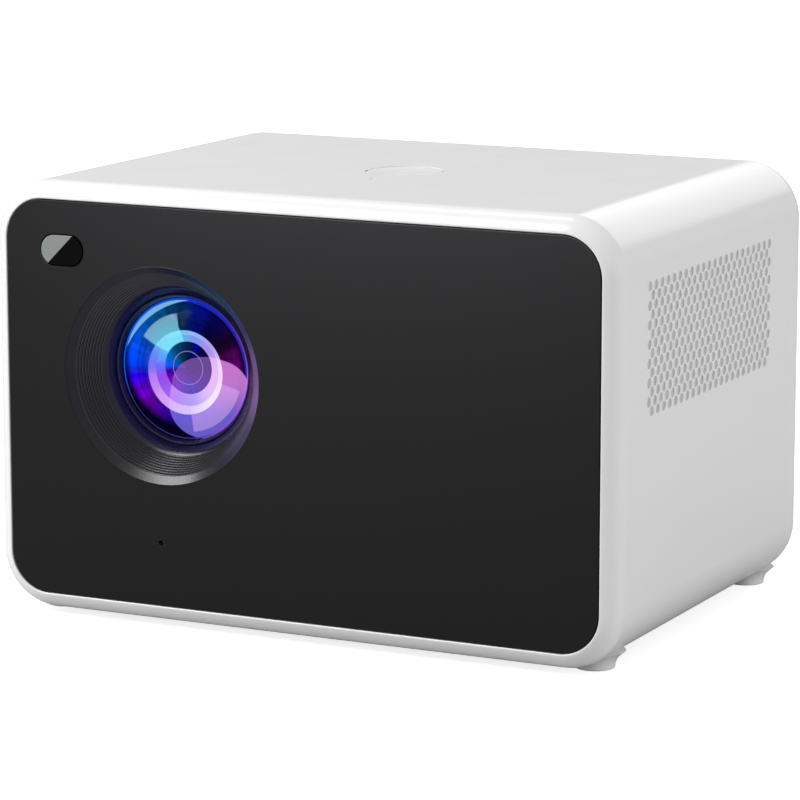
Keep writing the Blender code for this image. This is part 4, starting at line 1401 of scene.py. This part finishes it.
@dataclass
class TopControls:
    """The push button, the spring under it and the status light on the top."""

    maker: Maker
    button_radius: float = 13.65 * MM
    button_sink: float = 0.25 * MM
    dish: float = 0.7 * MM
    dish_steps: int = 16
    edge: float = 0.45 * MM
    skirt_radius: float = 15.55 * MM
    skirt_heights: Pair = (-3.0 * MM, -4.5 * MM)
    stem_radius: float = 3.0 * MM
    mark: Profile = mm((2.5, 0.0), (2.62, 0.1), (3.18, 0.12), (3.3, 0.0))
    spring_crown: Profile = mm((0.0, 0.0), (2.7, 0.0), (3.0, -0.1), (3.3, -0.5))
    spring_wall: Profile = mm((5.6, 1.0), (7.0, 0.8), (7.0, 0.0), (4.6, 0.0))
    spring_hollow: Profile = mm((2.4, -1.0), (0.0, -1.0))
    travel: float = 0.8 * MM
    spring_clear: float = 0.03 * MM
    light_radius: float = 1.1 * MM
    light_dome: float = 0.3 * MM
    light_flange: Pair = (2.0 * MM, -2.8 * MM)

    def build_button(self) -> None:
        """Make the round, shallowly dished button with its ring and the skirt under it."""
        room = Room.of("power_button")
        top = Room.of("case_sleeve").high.z
        centre = room.at(z=top)
        edge = self.edge
        sunk = -self.button_sink
        flat = self.button_radius - edge
        stem_end = room.low.z - top
        shares = [k / self.dish_steps for k in range(self.dish_steps)]
        face = [(flat * k, sunk - self.dish * (1 - k ** 2)) for k in shares]
        face += [(flat + edge * math.sin(t), sunk - edge * (1 - math.cos(t))) for t in quarter(4)]
        upper, lower = self.skirt_heights
        skirt = [(self.button_radius, upper), (self.skirt_radius, upper),
                 (self.skirt_radius, lower), (self.stem_radius, lower),
                 (self.stem_radius, stem_end), (0.0, stem_end)]
        button = lathe("push_button", face + skirt, centre, Axis.UP, 96, ring=False)
        self.maker.place(button, WHITE_SHELL, 40, Body.BUTTON, ("power_button",))
        mark = [(radius, sunk - self.dish + height) for radius, height in self.mark]
        self.maker.place(lathe("button_ring", mark, centre, Axis.UP, 64), BUTTON_MARK, 40,
                         Body.BUTTON)

    def build_spring(self) -> None:
        """Make the silicone spring under the button, and give it a mesh of its own."""
        room = Room.of("button_dome")
        base = room.at(z=room.low.z)
        tall = room.high.z - room.low.z
        crown = [(radius, tall + height) for radius, height in self.spring_crown]
        hollow = [(radius, tall + height) for radius, height in self.spring_hollow]
        spring = lathe("button_spring", [*crown, *self.spring_wall, *hollow], base, Axis.UP, 48,
                       ring=False)
        self.maker.place(spring, SILICONE, 40, replaces=("button_dome",))
        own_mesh(spring)

    def build_light(self) -> None:
        """Make the light pipe with its domed tip."""
        room = Room.of("status_light")
        flange, under = self.light_flange
        end = room.low.z - room.high.z
        pipe = [(self.light_radius * math.sin(t), -self.light_dome * (1 - math.cos(t)))
                for t in quarter(6)]
        pipe += [(self.light_radius, under), (flange, under), (flange, end), (0.0, end)]
        light = lathe("light_pipe", pipe, room.at(z=room.high.z), Axis.UP, 32, ring=False)
        self.maker.place(light, LIGHT_PIPE, 40, replaces=("status_light",))

    def build(self) -> None:
        """Make the button, its spring and the light."""
        self.build_button()
        self.build_spring()
        self.build_light()


@dataclass
class FrontFascia:
    """The charcoal front panel with its sensor window and microphone hole."""

    maker: Maker
    radius: float = 14.2 * MM
    edge: float = 0.35 * MM
    reach: float = 10.0 * MM
    hood_clear: float = 0.02 * MM
    window: Pair = (8.75 * MM, 5.7 * MM)
    window_round: float = 0.97
    window_gap: float = 0.42 * MM
    window_sink: float = -0.08 * MM
    window_depth: float = 2.5 * MM
    window_edge: float = 0.3 * MM
    window_flare: float = 0.15 * MM
    mic_radius: float = 0.95 * MM
    mic_flare: float = 0.1 * MM

    def build(self) -> None:
        """Make the panel with its three openings, and the window."""
        room = Room.of("front_panel")
        y = room.low.y
        depth = room.high.y - y
        panel = plate("front_fascia", room.at(y=y), room.half, depth, self.radius, self.edge,
                      steps=20)
        hood, window, mic = (Room.of(node).at(y=y)
                             for node in ("lens_hood", "sensor_window", "microphone"))
        cutters = [drill("hood_hole", hood, LensAssembly.hood_radius + self.hood_clear,
                         self.reach, segments=160),
                   prism("window_hole", window, self.window, self.reach,
                         self.window[1] * self.window_round, steps=14, flare=self.window_flare),
                   drill("mic_hole", mic, self.mic_radius, self.reach, segments=32,
                         flare=self.mic_flare)]
        carve(panel, merge(cutters, "fascia_cutter"))
        self.maker.place(panel, CHARCOAL, 40, replaces=("front_panel",))
        half = (self.window[0] - self.window_gap, self.window[1] - self.window_gap)
        window.y = y + self.window_sink
        glass = plate("sensor_glass", window, half, self.window_depth,
                      half[1] * self.window_round, self.window_edge)
        self.maker.place(glass, SENSOR_GLASS, 40, replaces=("sensor_window",))


# ---- Lens ---------------------------------------------------------------------------------
@dataclass
class LensAssembly:
    """The ridged hood, and the focusing cell with its glass."""

    maker: Maker
    hood_radius: float = 38.5 * MM
    hood_edge: float = 0.25 * MM
    ridge_outer: float = 35.8 * MM
    ridge_inner: float = 30.0 * MM
    ridge_front: float = 2.3 * MM
    ridge_back: float = 12.0 * MM
    ridges: int = 9
    ridge_steps: int = 8
    ridge_height: float = 0.32 * MM
    throat: Profile = mm((30.0, -12.0), (27.2, -14.4), (27.2, -21.5), (29.2, -21.5),
                         (29.2, -15.2), (37.4, -5.0), (38.5, -3.6))
    ring: Profile = mm((26.0, -15.3), (26.4, -15.2), (26.7, -15.4), (26.8, -16.9),
                       (25.35, -16.9), (25.35, -16.5))
    element: Profile = mm((0.0, -19.0), (3.0, -19.05), (6.0, -19.2), (9.35, -19.5),
                          (15.0, -17.2), (20.0, -17.3), (25.5, -17.5), (25.5, -19.9),
                          (0.0, -19.9))
    glass_radius: float = 25.6 * MM
    glass_rim: float = -17.3 * MM
    glass_bulge: float = 8.5 * MM
    glass_thick: float = 0.6 * MM
    origin: Vector = field(init=False)

    def __post_init__(self) -> None:
        """Place the lens axis on the panel's front plane."""
        room = Room.of("lens_hood")
        self.origin = room.at(y=room.low.y)

    def build_hood(self) -> None:
        """Make the funnel: a smooth outer ring, fine rounded ridges and the throat."""
        edge = self.hood_edge
        count = self.ridges * self.ridge_steps
        profile = [(self.hood_radius + edge * math.sin(t) - edge, -edge * (1 - math.cos(t)))
                   for t in reversed(quarter(4))]
        slope = Vector((self.ridge_inner - self.ridge_outer, self.ridge_front - self.ridge_back))
        across = Vector((slope.y, -slope.x)).normalized()
        start = Vector((self.ridge_outer, -self.ridge_front))
        for k in range(count):
            height = self.ridge_height * math.sin(math.tau * k / self.ridge_steps)
            profile.append(tuple(start + slope * (k / count) + across * height))
        hood = lathe("ridged_hood", [*profile, *self.throat], self.origin, Axis.FORWARD, 160)
        self.maker.place(hood, HOOD_BLACK, 75, replaces=("lens_hood",))

    def build_cell(self) -> None:
        """Make the retaining ring, the front glass and the coated elements behind it, which carry
        the painted glow of the lens.
        """
        ring = lathe("glass_ring", self.ring, self.origin, Axis.FORWARD, 128)
        self.maker.place(ring, HOOD_BLACK, 35, Body.LENS, ("lens_retaining_ring",))
        sphere = (self.glass_radius ** 2 + self.glass_bulge ** 2) / (2 * self.glass_bulge)
        inner_sphere = sphere - self.glass_thick
        inner = math.sqrt(inner_sphere ** 2 - (sphere - self.glass_bulge) ** 2)
        section = (dome(self.glass_radius, sphere, self.glass_rim)
                   + dome(inner, inner_sphere, self.glass_rim)[::-1])
        glass = lathe("front_glass", section, self.origin, Axis.FORWARD, 128, ring=False)
        self.maker.place(glass, FRONT_GLASS, 40, Body.LENS, ("front_lens",))
        # The elements' colours are painted light that glows by emission.
        element = lathe("coated_element", self.element, self.origin, Axis.FORWARD, 128,
                        ring=False)
        self.maker.place(element, OPTICS, 25, Body.LENS)

    def build(self) -> None:
        """Make the hood and the cell."""
        self.build_hood()
        self.build_cell()


# ---- Back and underside -------------------------------------------------------------------
@dataclass(frozen=True)
class DataSocket:
    """Sizes of one kind of data socket: its contacts, and how high its tongue sits."""

    kind: str
    contacts: int
    pitch: float
    lift: float

    def outline(self, half: Pair, inner: bool) -> list[Pair]:
        """The socket's outline: a rounded rectangle, or one with its lower corners cut off.

        Args:
            half: Half width and half height.
            inner: Whether it is the outline of the pocket.

        Returns:
            Points in order round the outline.
        """
        if self.kind == "usb":
            return rounded_outline(half, (0.3 if inner else 0.5) * MM, 3)
        (x, z), corner, slant = half, 0.3 * MM, (1.8 if inner else 2.0) * MM
        return [(x, z - corner), (x - corner, z), (-x + corner, z), (-x, z - corner),
                (-x, -z + slant), (-x + slant * 0.8, -z), (x - slant * 0.8, -z), (x, -z + slant)]


@dataclass
class RearPanel:
    """The charcoal back with its vents, sockets and screws."""

    maker: Maker
    radius: float = 11.6 * MM
    edge: float = 0.35 * MM
    reach: float = 10.0 * MM
    slot_rows: int = 8
    slot_pitch: float = 6.0 * MM
    slot_low: float = 8.0 * MM
    slot_x: float = 48.0 * MM
    slot_half: Pair = (34.0 * MM, 1.3 * MM)
    flare: float = 0.2 * MM
    clear: float = 0.4 * MM
    screw_x: float = 106.7 * MM
    screw_z: float = 50.0 * MM
    screw_height: float = 1.1 * MM
    socket_wall: float = 0.5 * MM
    socket_floor: float = 9.5 * MM
    shell_edge: float = 0.15 * MM
    tongue_gap: float = 2.2 * MM
    tongue_half_height: float = 0.75 * MM
    tongue_depths: Pair = (10.0 * MM, 1.2 * MM)
    tongue_edge: float = 0.15 * MM
    contact_depths: Pair = (9.0 * MM, 1.7 * MM)
    contact_proud: float = 0.12 * MM
    contact_thick: float = 0.2 * MM
    contact_share: float = 0.27
    contact_edge: float = 0.05 * MM
    nose: Profile = mm((1.8, -8.5), (2.45, -8.5), (2.45, -0.1), (2.3, 0.05), (1.95, 0.05),
                       (1.8, -0.1))
    audio_bore: float = 2.5 * MM
    inlet_half: Pair = (9.0 * MM, 5.0 * MM)
    inlet_floor: float = 14.0 * MM
    pin_x: float = 4.3 * MM
    pin_radius: float = 1.2 * MM
    pin_heights: Pair = (-15.0 * MM, -4.0 * MM)
    pin_round: float = 0.9 * MM
    data_sockets: tuple[DataSocket, ...] = (DataSocket("hdmi", 9, 1.05 * MM, 0.4 * MM),
                                            DataSocket("usb", 4, 2.1 * MM, 0.9 * MM))

    def openings(self, middle: float, face: float) -> list[Piece]:
        """Cutters for the vents, the sockets and the screws.

        Args:
            middle: Height of the case's middle.
            face: Where the panel's outer face lies along Y.

        Returns:
            The cutters.
        """
        cutters = []
        for row in range(self.slot_rows):
            z = middle + self.slot_low + row * self.slot_pitch
            cutters += [prism("vent", Vector((x, face, z)), self.slot_half, self.reach,
                              self.slot_half[1], Axis.BACK, flare=self.flare)
                        for x in (-self.slot_x, self.slot_x)]
        for name, radius in (("hdmi_socket_1", 0.8), ("hdmi_socket_2", 0.8),
                             ("usb_socket_1", 0.6), ("usb_socket_2", 0.6),
                             ("audio_socket", 0.8), ("mains_inlet", 3.0)):
            room = Room.of(name)
            half = (room.half[0] + self.clear, room.half[1] + self.clear)
            cutters.append(prism("socket_hole", room.at(y=face), half, self.reach, radius * MM,
                                 Axis.BACK, flare=self.flare))
        for sx in (-1, 1):
            for sz in (-1, 1):
                seat = Vector((sx * self.screw_x, face, middle + sz * self.screw_z))
                cutters.append(sink(seat, Axis.BACK, 1.6 * MM, 3.1 * MM, 1.5 * MM))
        return cutters

    def build_panel(self) -> None:
        """Make the panel and its four screws."""
        room = Room.of("rear_panel")
        middle = Room.of("case_sleeve").at().z
        face = room.high.y
        panel = plate("rear_cover", Vector((0.0, face, middle)), room.half, face - room.low.y,
                      self.radius, self.edge, Axis.BACK)
        carve(panel, merge(self.openings(middle, face), "rear_cutter"))
        self.maker.place(panel, CHARCOAL, 40, replaces=("rear_panel",))
        for number in range(1, 5):
            node = f"rear_screw_{number}"
            room = Room.of(node)
            seat = room.at(y=room.high.y - self.screw_height)
            made = screw(f"cover_screw_{number}", seat, Axis.BACK, 2.7 * MM, self.screw_height,
                         1.1 * MM, 7 * MM)
            self.maker.place(made, STEEL, 35, replaces=(node,))

    def cup(self, name: str, room: Room, outer: Profile, inner: Profile, floor: float,
            soft: float) -> Piece:
        """A box open at the back, with any outline.

        Args:
            name: Name of the piece.
            room: The box that it fills.
            outer: Outline of its outside, about its middle.
            inner: Outline of its pocket, with as many points.
            floor: Depth of the pocket.
            soft: Width of the rounded mouth.

        Returns:
            The new object.
        """
        middle = room.at()
        back = room.high.y
        mouth = [((a[0] * 2 + b[0]) / 3, (a[1] * 2 + b[1]) / 3) for a, b in zip(outer, inner)]
        return loft(name, [[Vector((middle.x + x, y, middle.z + z)) for x, z in outline]
                           for outline, y in ((outer, room.low.y), (outer, back - soft),
                                              (mouth, back), (inner, back - soft),
                                              (inner, back - floor))])

    def build_shell(self, sizes: DataSocket, number: int) -> None:
        """Make the bright shell of a data socket.

        Args:
            sizes: Sizes of its kind.
            number: Its number.
        """
        node = f"{sizes.kind}_socket_{number}"
        room = Room.of(node)
        pocket = (room.half[0] - self.socket_wall, room.half[1] - self.socket_wall)
        shell = self.cup(f"{sizes.kind}_shell_{number}", room, sizes.outline(room.half, False),
                         sizes.outline(pocket, True), self.socket_floor, self.shell_edge)
        self.maker.place(shell, STEEL, 30, replaces=(node,))

    def build_tongue(self, sizes: DataSocket, number: int) -> None:
        """Make the tongue of a data socket, with its contacts in one piece.

        Args:
            sizes: Sizes of its kind.
            number: Its number.
        """
        room = Room.of(f"{sizes.kind}_socket_{number}")
        middle = room.at()
        wide = room.half[0] - self.tongue_gap
        under = middle.z + sizes.lift - self.tongue_half_height
        over = middle.z + sizes.lift + self.tongue_half_height
        first, last = (room.high.y - depth for depth in self.tongue_depths)
        tongue = block(f"{sizes.kind}_tongue_{number}", Vector((middle.x - wide, first, under)),
                       Vector((middle.x + wide, last, over)), self.tongue_edge)
        self.maker.place(tongue, BLACK_PLASTIC, 30)
        low = under - self.contact_proud
        first, last = (room.high.y - depth for depth in self.contact_depths)
        half = sizes.pitch * self.contact_share
        strips = []
        for k in range(sizes.contacts):
            x = middle.x + (k - (sizes.contacts - 1) / 2) * sizes.pitch
            strips.append(block("strip", Vector((x - half, first, low)),
                                Vector((x + half, last, low + self.contact_thick)),
                                self.contact_edge))
        self.maker.place(merge(strips, f"{sizes.kind}_contacts_{number}"), BRASS, 30)

    def build_audio(self) -> None:
        """Make the audio socket with its bright nose."""
        room = Room.of("audio_socket")
        face = room.at(y=room.high.y)
        body = plate("audio_body", face, room.half, room.high.y - room.low.y, 0.8 * MM,
                     0.25 * MM, Axis.BACK, 6)
        carve(body, drill("bore", face, self.audio_bore, 9 * MM))
        self.maker.place(body, BLACK_PLASTIC, 35, replaces=("audio_socket",))
        self.maker.place(lathe("audio_nose", self.nose, face, Axis.BACK, 48), STEEL, 35)

    def build_inlet(self) -> None:
        """Make the two-pin mains inlet."""
        room = Room.of("mains_inlet")
        body = self.cup("inlet_body", room, rounded_outline(room.half, 2.6 * MM, 10),
                        rounded_outline(self.inlet_half, 4.6 * MM, 10), self.inlet_floor,
                        0.3 * MM)
        self.maker.place(body, BLACK_PLASTIC, 30, replaces=("mains_inlet",))
        face = room.at(y=room.high.y)
        wide = self.pin_radius
        end, tip = self.pin_heights
        profile = [(0.0, end), (wide, end)]
        profile += [(wide * math.cos(t), tip - self.pin_round * (1 - math.sin(t)))
                    for t in quarter(5)[:-1]]
        pins = [lathe("pin", profile + [(0.0, tip)], face + Vector((x, 0.0, 0.0)), Axis.BACK, 32,
                      ring=False) for x in (-self.pin_x, self.pin_x)]
        self.maker.place(merge(pins, "inlet_pins"), STEEL, 35)

    def build(self) -> None:
        """Make the whole back."""
        self.build_panel()
        for sizes in self.data_sockets:
            for number in (1, 2):
                self.build_shell(sizes, number)
                self.build_tongue(sizes, number)
        self.build_audio()
        self.build_inlet()


@dataclass
class Underside:
    """The base plate, its screws, the tripod insert and the four feet."""

    maker: Maker
    thick: float = 2.2 * MM
    corner: float = 5.7 * MM
    edge: float = 0.3 * MM
    slots: int = 7
    slot_start: float = 30.0 * MM
    slot_pitch: float = 6.0 * MM
    slot_half: Pair = (1.3 * MM, 35.0 * MM)
    slot_reach: float = 10.0 * MM
    slot_flare: float = 0.2 * MM
    tripod_hole: float = 5.4 * MM
    boss: Profile = mm((5.4, 1.6), (5.4, 9.8), (9.0, 9.8), (9.0, 1.6))
    screw_height: float = 1.1 * MM
    thread_bore: float = 3.0 * MM
    thread_root: float = 3.35 * MM
    thread_pitch: float = 1.27 * MM
    thread_mouth: float = 3.4 * MM
    insert_radius: float = 5.0 * MM
    foot_x: float = 104.0 * MM
    foot_radius: float = 7.0 * MM
    foot_edge: float = 0.5 * MM
    foot_flare: float = 3.6 * MM
    foot_curve: float = 2.2
    foot_top: float = 6.0 * MM

    def build_plate(self) -> None:
        """Make the plate with its vents, sinks and tripod seat, and the boss over the seat."""
        low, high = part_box("base_plate")
        under = Vector((0.0, 0.0, low.z))
        made = plate("bottom_plate", under, (high.x, high.y), self.thick, self.corner,
                     self.edge, Axis.DOWN, 12)
        cutters = [drill("tripod_seat", under, self.tripod_hole, 20 * MM, Axis.UP)]
        for side in (-1, 1):
            for k in range(self.slots):
                x = side * (self.slot_start + self.slot_pitch * k)
                cutters.append(prism("vent", Vector((x, 0.0, low.z)), self.slot_half,
                                     self.slot_reach, self.slot_half[0], Axis.DOWN,
                                     flare=self.slot_flare))
        for number in range(1, 5):
            seat = Room.of(f"base_screw_{number}").at(z=low.z)
            cutters.append(sink(seat, Axis.DOWN, 1.7 * MM, 3.3 * MM, 1.4 * MM))
        carve(made, merge(cutters, "base_cutter"))
        self.maker.place(made, WHITE_SHELL, 40, replaces=("base_plate",))
        self.maker.place(lathe("tripod_boss", self.boss, under, Axis.UP, 48), WHITE_SHELL, 35)

    def build_screws(self) -> None:
        """Make the four screws."""
        for number in range(1, 5):
            node = f"base_screw_{number}"
            room = Room.of(node)
            seat = room.at(z=room.low.z + self.screw_height)
            made = screw(f"bottom_screw_{number}", seat, Axis.DOWN, 2.8 * MM, self.screw_height,
                         1.2 * MM, 6 * MM)
            self.maker.place(made, STEEL, 35, replaces=(node,))

    def build_insert(self) -> None:
        """Make the brass insert with the grooves of its thread."""
        low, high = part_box("tripod_insert")
        tall = high.z - low.z
        mouth = self.thread_mouth
        pitch = self.thread_pitch
        profile = [(mouth, 0.0)]
        for k in range(int(tall / pitch)):
            z = k * pitch
            profile += [(self.thread_bore, z + 0.25 * pitch),
                        (self.thread_root, z + 0.75 * pitch)]
        profile += [(mouth, tall), (self.insert_radius, tall), (self.insert_radius, 0.0)]
        insert = lathe("thread_insert", profile, Vector((0.0, 0.0, low.z)), Axis.UP, 48)
        self.maker.place(insert, BRASS, 35, replaces=("tripod_insert",))

    def build_feet(self) -> None:
        """Make the feet, whose sides flare up into the case."""
        edge = self.foot_edge
        top = self.foot_top
        steps = 10
        profile = [(0.0, 0.0)]
        profile += [(self.foot_radius - edge * (1 - math.sin(t)), edge * (1 - math.cos(t)))
                    for t in quarter(4)]
        profile += [(self.foot_radius + self.foot_flare * (k / steps) ** self.foot_curve,
                     edge + (top - edge) * k / steps) for k in range(1, steps + 1)]
        profile.append((0.0, top))
        for place in ("front_left", "front_right", "back_left", "back_right"):
            centre = Room.of("foot_" + place).at(z=0.0)
            centre.x = math.copysign(self.foot_x, centre.x)
            foot = lathe("case_foot_" + place, profile, centre, Axis.UP, 64, ring=False)
            self.maker.place(foot, WHITE_SHELL, 40, replaces=("foot_" + place,))

    def build(self) -> None:
        """Make the whole underside."""
        self.build_plate()
        self.build_screws()
        self.build_insert()
        self.build_feet()


# ---- Inside -------------------------------------------------------------------------------
@dataclass
class Interior:
    """The pieces inside the case: those of the frame, with their finishes."""

    maker: Maker
    finishes: tuple[tuple[Finish, tuple[str, ...]], ...] = (
        (BLACK_PLASTIC, ("lens_barrel", "lens_bracket", "remote_receiver", "engine_housing",
                         "engine_cover", "fan_frame", "fan_impeller", "speaker_cone")),
        (INNER_GLASS, ("middle_lens", "rear_lens", "front_fresnel", "rear_fresnel",
                       "heat_glass", "condenser_lens")),
        (STEEL, ("guide_rod_upper", "guide_rod_lower", "focus_motor", "speaker_basket")),
        (ALUMINIUM, ("led_board", "heat_sink", "processor_heat_sink", "microphone")),
        (MIRROR, ("folding_mirror", "reflector")),
        (BRASS, ("focus_screw",)),
        (COPPER, ("transformer",)),
        (BOARD, ("button_board", "main_board", "power_board")),
        (LCD_GLASS, ("lcd_panel",)),
    )

    def dress(self, nodes: dict[str, Piece]) -> None:
        """Give every frame node that stays a finish.

        Args:
            nodes: The frame's nodes.
        """
        for finish, names in self.finishes:
            for name in names:
                self.maker.dress(nodes[name], finish)


# ---- Studio -------------------------------------------------------------------------------
@dataclass(frozen=True)
class SoftBox:
    """A soft lamp that shines at the object.

    Its radiance is the brightness of its face, where the room's white is 1. Shiny surfaces
    mirror it if it is glossy. It lights one piece alone if that piece is named.
    """

    name: str
    place: tuple[float, float, float]
    size: Pair
    radiance: float
    glossy: bool = True
    aim: tuple[float, float, float] = (0.0, 0.0, 0.08)
    only: str = ""

    def hang(self) -> None:
        """Hang the lamp."""
        data = bpy.data.lights.new(self.name, "AREA")
        data.shape = "RECTANGLE"
        data.size, data.size_y = self.size
        data.energy = self.radiance * math.pi * self.size[0] * self.size[1]
        lamp = bpy.data.objects.new(self.name, data)
        bpy.context.scene.collection.objects.link(lamp)
        lamp.location = self.place
        gaze = Vector(self.aim) - Vector(self.place)
        lamp.rotation_euler = gaze.to_track_quat("-Z", "Y").to_euler()
        lamp.visible_camera = False
        lamp.visible_glossy = self.glossy
        if self.only:
            lit = bpy.data.collections.new(self.name + "_lights")
            lit.objects.link(bpy.data.objects[self.only])
            lamp.light_linking.receiver_collection = lit


@dataclass
class Studio:
    """Pale floor, soft light and the camera."""

    floor_half: float = 6.0
    floor_glow: float = 0.80
    sky: float = 0.48
    camera_place: tuple[float, float, float] = (0.60489, -1.22858, 0.32838)
    heading: float = math.radians(26.319)
    drop: float = math.radians(10.618)
    lens: float = 173.3
    lamps: tuple[SoftBox, ...] = (
        SoftBox("key_box", (-0.82, -0.92, 1.23), (0.8, 0.8), 8.4),
        SoftBox("side_box", (1.70, 0.05, 0.25), (1.0, 0.8), 4.7, glossy=False),
        SoftBox("left_box", (-1.45, -1.05, 0.30), (0.8, 0.8), 5.2, glossy=False),
        SoftBox("overhead_strip", (-0.80, 0.45, 1.50), (0.14, 1.2), 9.0),
        SoftBox("back_box", (0.10, 2.0, 1.0), (1.6, 0.7), 1.15),
        SoftBox("back_fill", (-1.0, 1.6, 0.8), (1.2, 1.0), 1.6, glossy=False),
        SoftBox("panel_strip", (0.02, -0.145, 0.195), (0.24, 0.02), 21.0,
                aim=(0.02, -0.088, 0.12), only="front_fascia"),
        SoftBox("funnel_strip", (-0.68, -0.25, 1.25), (0.28, 1.1), 11.0,
                aim=(-0.07, -0.09, 0.09), only="ridged_hood"),
    )

    def build_floor(self) -> None:
        """Lay the floor, which the camera sees as white and which lights the object less."""
        work = bmesh.new()
        bmesh.ops.create_grid(work, x_segments=2, y_segments=2, size=self.floor_half)
        floor = keep(work, "studio_floor")
        made, sheet, shader = new_material("studio_floor")
        seen = sheet.node("LightPath").outputs["Is Camera Ray"]
        sheet.wire(shader, Base_Color=(0.48, 0.48, 0.48), Roughness=0.9,
                   Specular_IOR_Level=0.1, Emission_Color=(1.0, 1.0, 1.0),
                   Emission_Strength=sheet.product(seen, self.floor_glow))
        floor.data.materials.append(made)

    def build_room(self) -> None:
        """Fill the room with even light, behind a white that the camera sees."""
        world = bpy.data.worlds.new("studio_room")
        world.use_nodes = True
        sheet = Sheet(world.node_tree)
        seen = sheet.node("LightPath").outputs["Is Camera Ray"]
        sheet.wire(world.node_tree.nodes["Background"], Color=(1.0, 1.0, 1.0),
                   Strength=sheet.maths("MAXIMUM", seen, self.sky))
        bpy.context.scene.world = world

    def build_camera(self) -> None:
        """Set up the camera."""
        data = bpy.data.cameras.new("studio_camera")
        data.lens = self.lens
        data.sensor_width = 36.0
        camera = bpy.data.objects.new("studio_camera", data)
        bpy.context.scene.collection.objects.link(camera)
        camera.location = self.camera_place
        look = Vector((-math.sin(self.heading) * math.cos(self.drop),
                       math.cos(self.heading) * math.cos(self.drop), -math.sin(self.drop)))
        camera.rotation_euler = look.to_track_quat("-Z", "Y").to_euler()
        bpy.context.scene.camera = camera

    def build(self) -> None:
        """Make the whole studio."""
        self.build_floor()
        self.build_room()
        for lamp in self.lamps:
            lamp.hang()
        self.build_camera()
        bpy.context.scene.view_settings.view_transform = "Standard"


def main() -> None:
    """Build every sub-assembly round the frame."""
    logging.basicConfig(level=logging.INFO, format="%(name)s: %(message)s")
    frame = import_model()
    maker = Maker()
    for part in (CaseShell(maker), TopControls(maker), FrontFascia(maker), LensAssembly(maker),
                 RearPanel(maker), Underside(maker), Studio()):
        part.build()
    Interior(maker).dress(frame["nodes"])
    LOG.info("%d pieces made", len(maker.pieces))


if __name__ == "__main__":
    main()
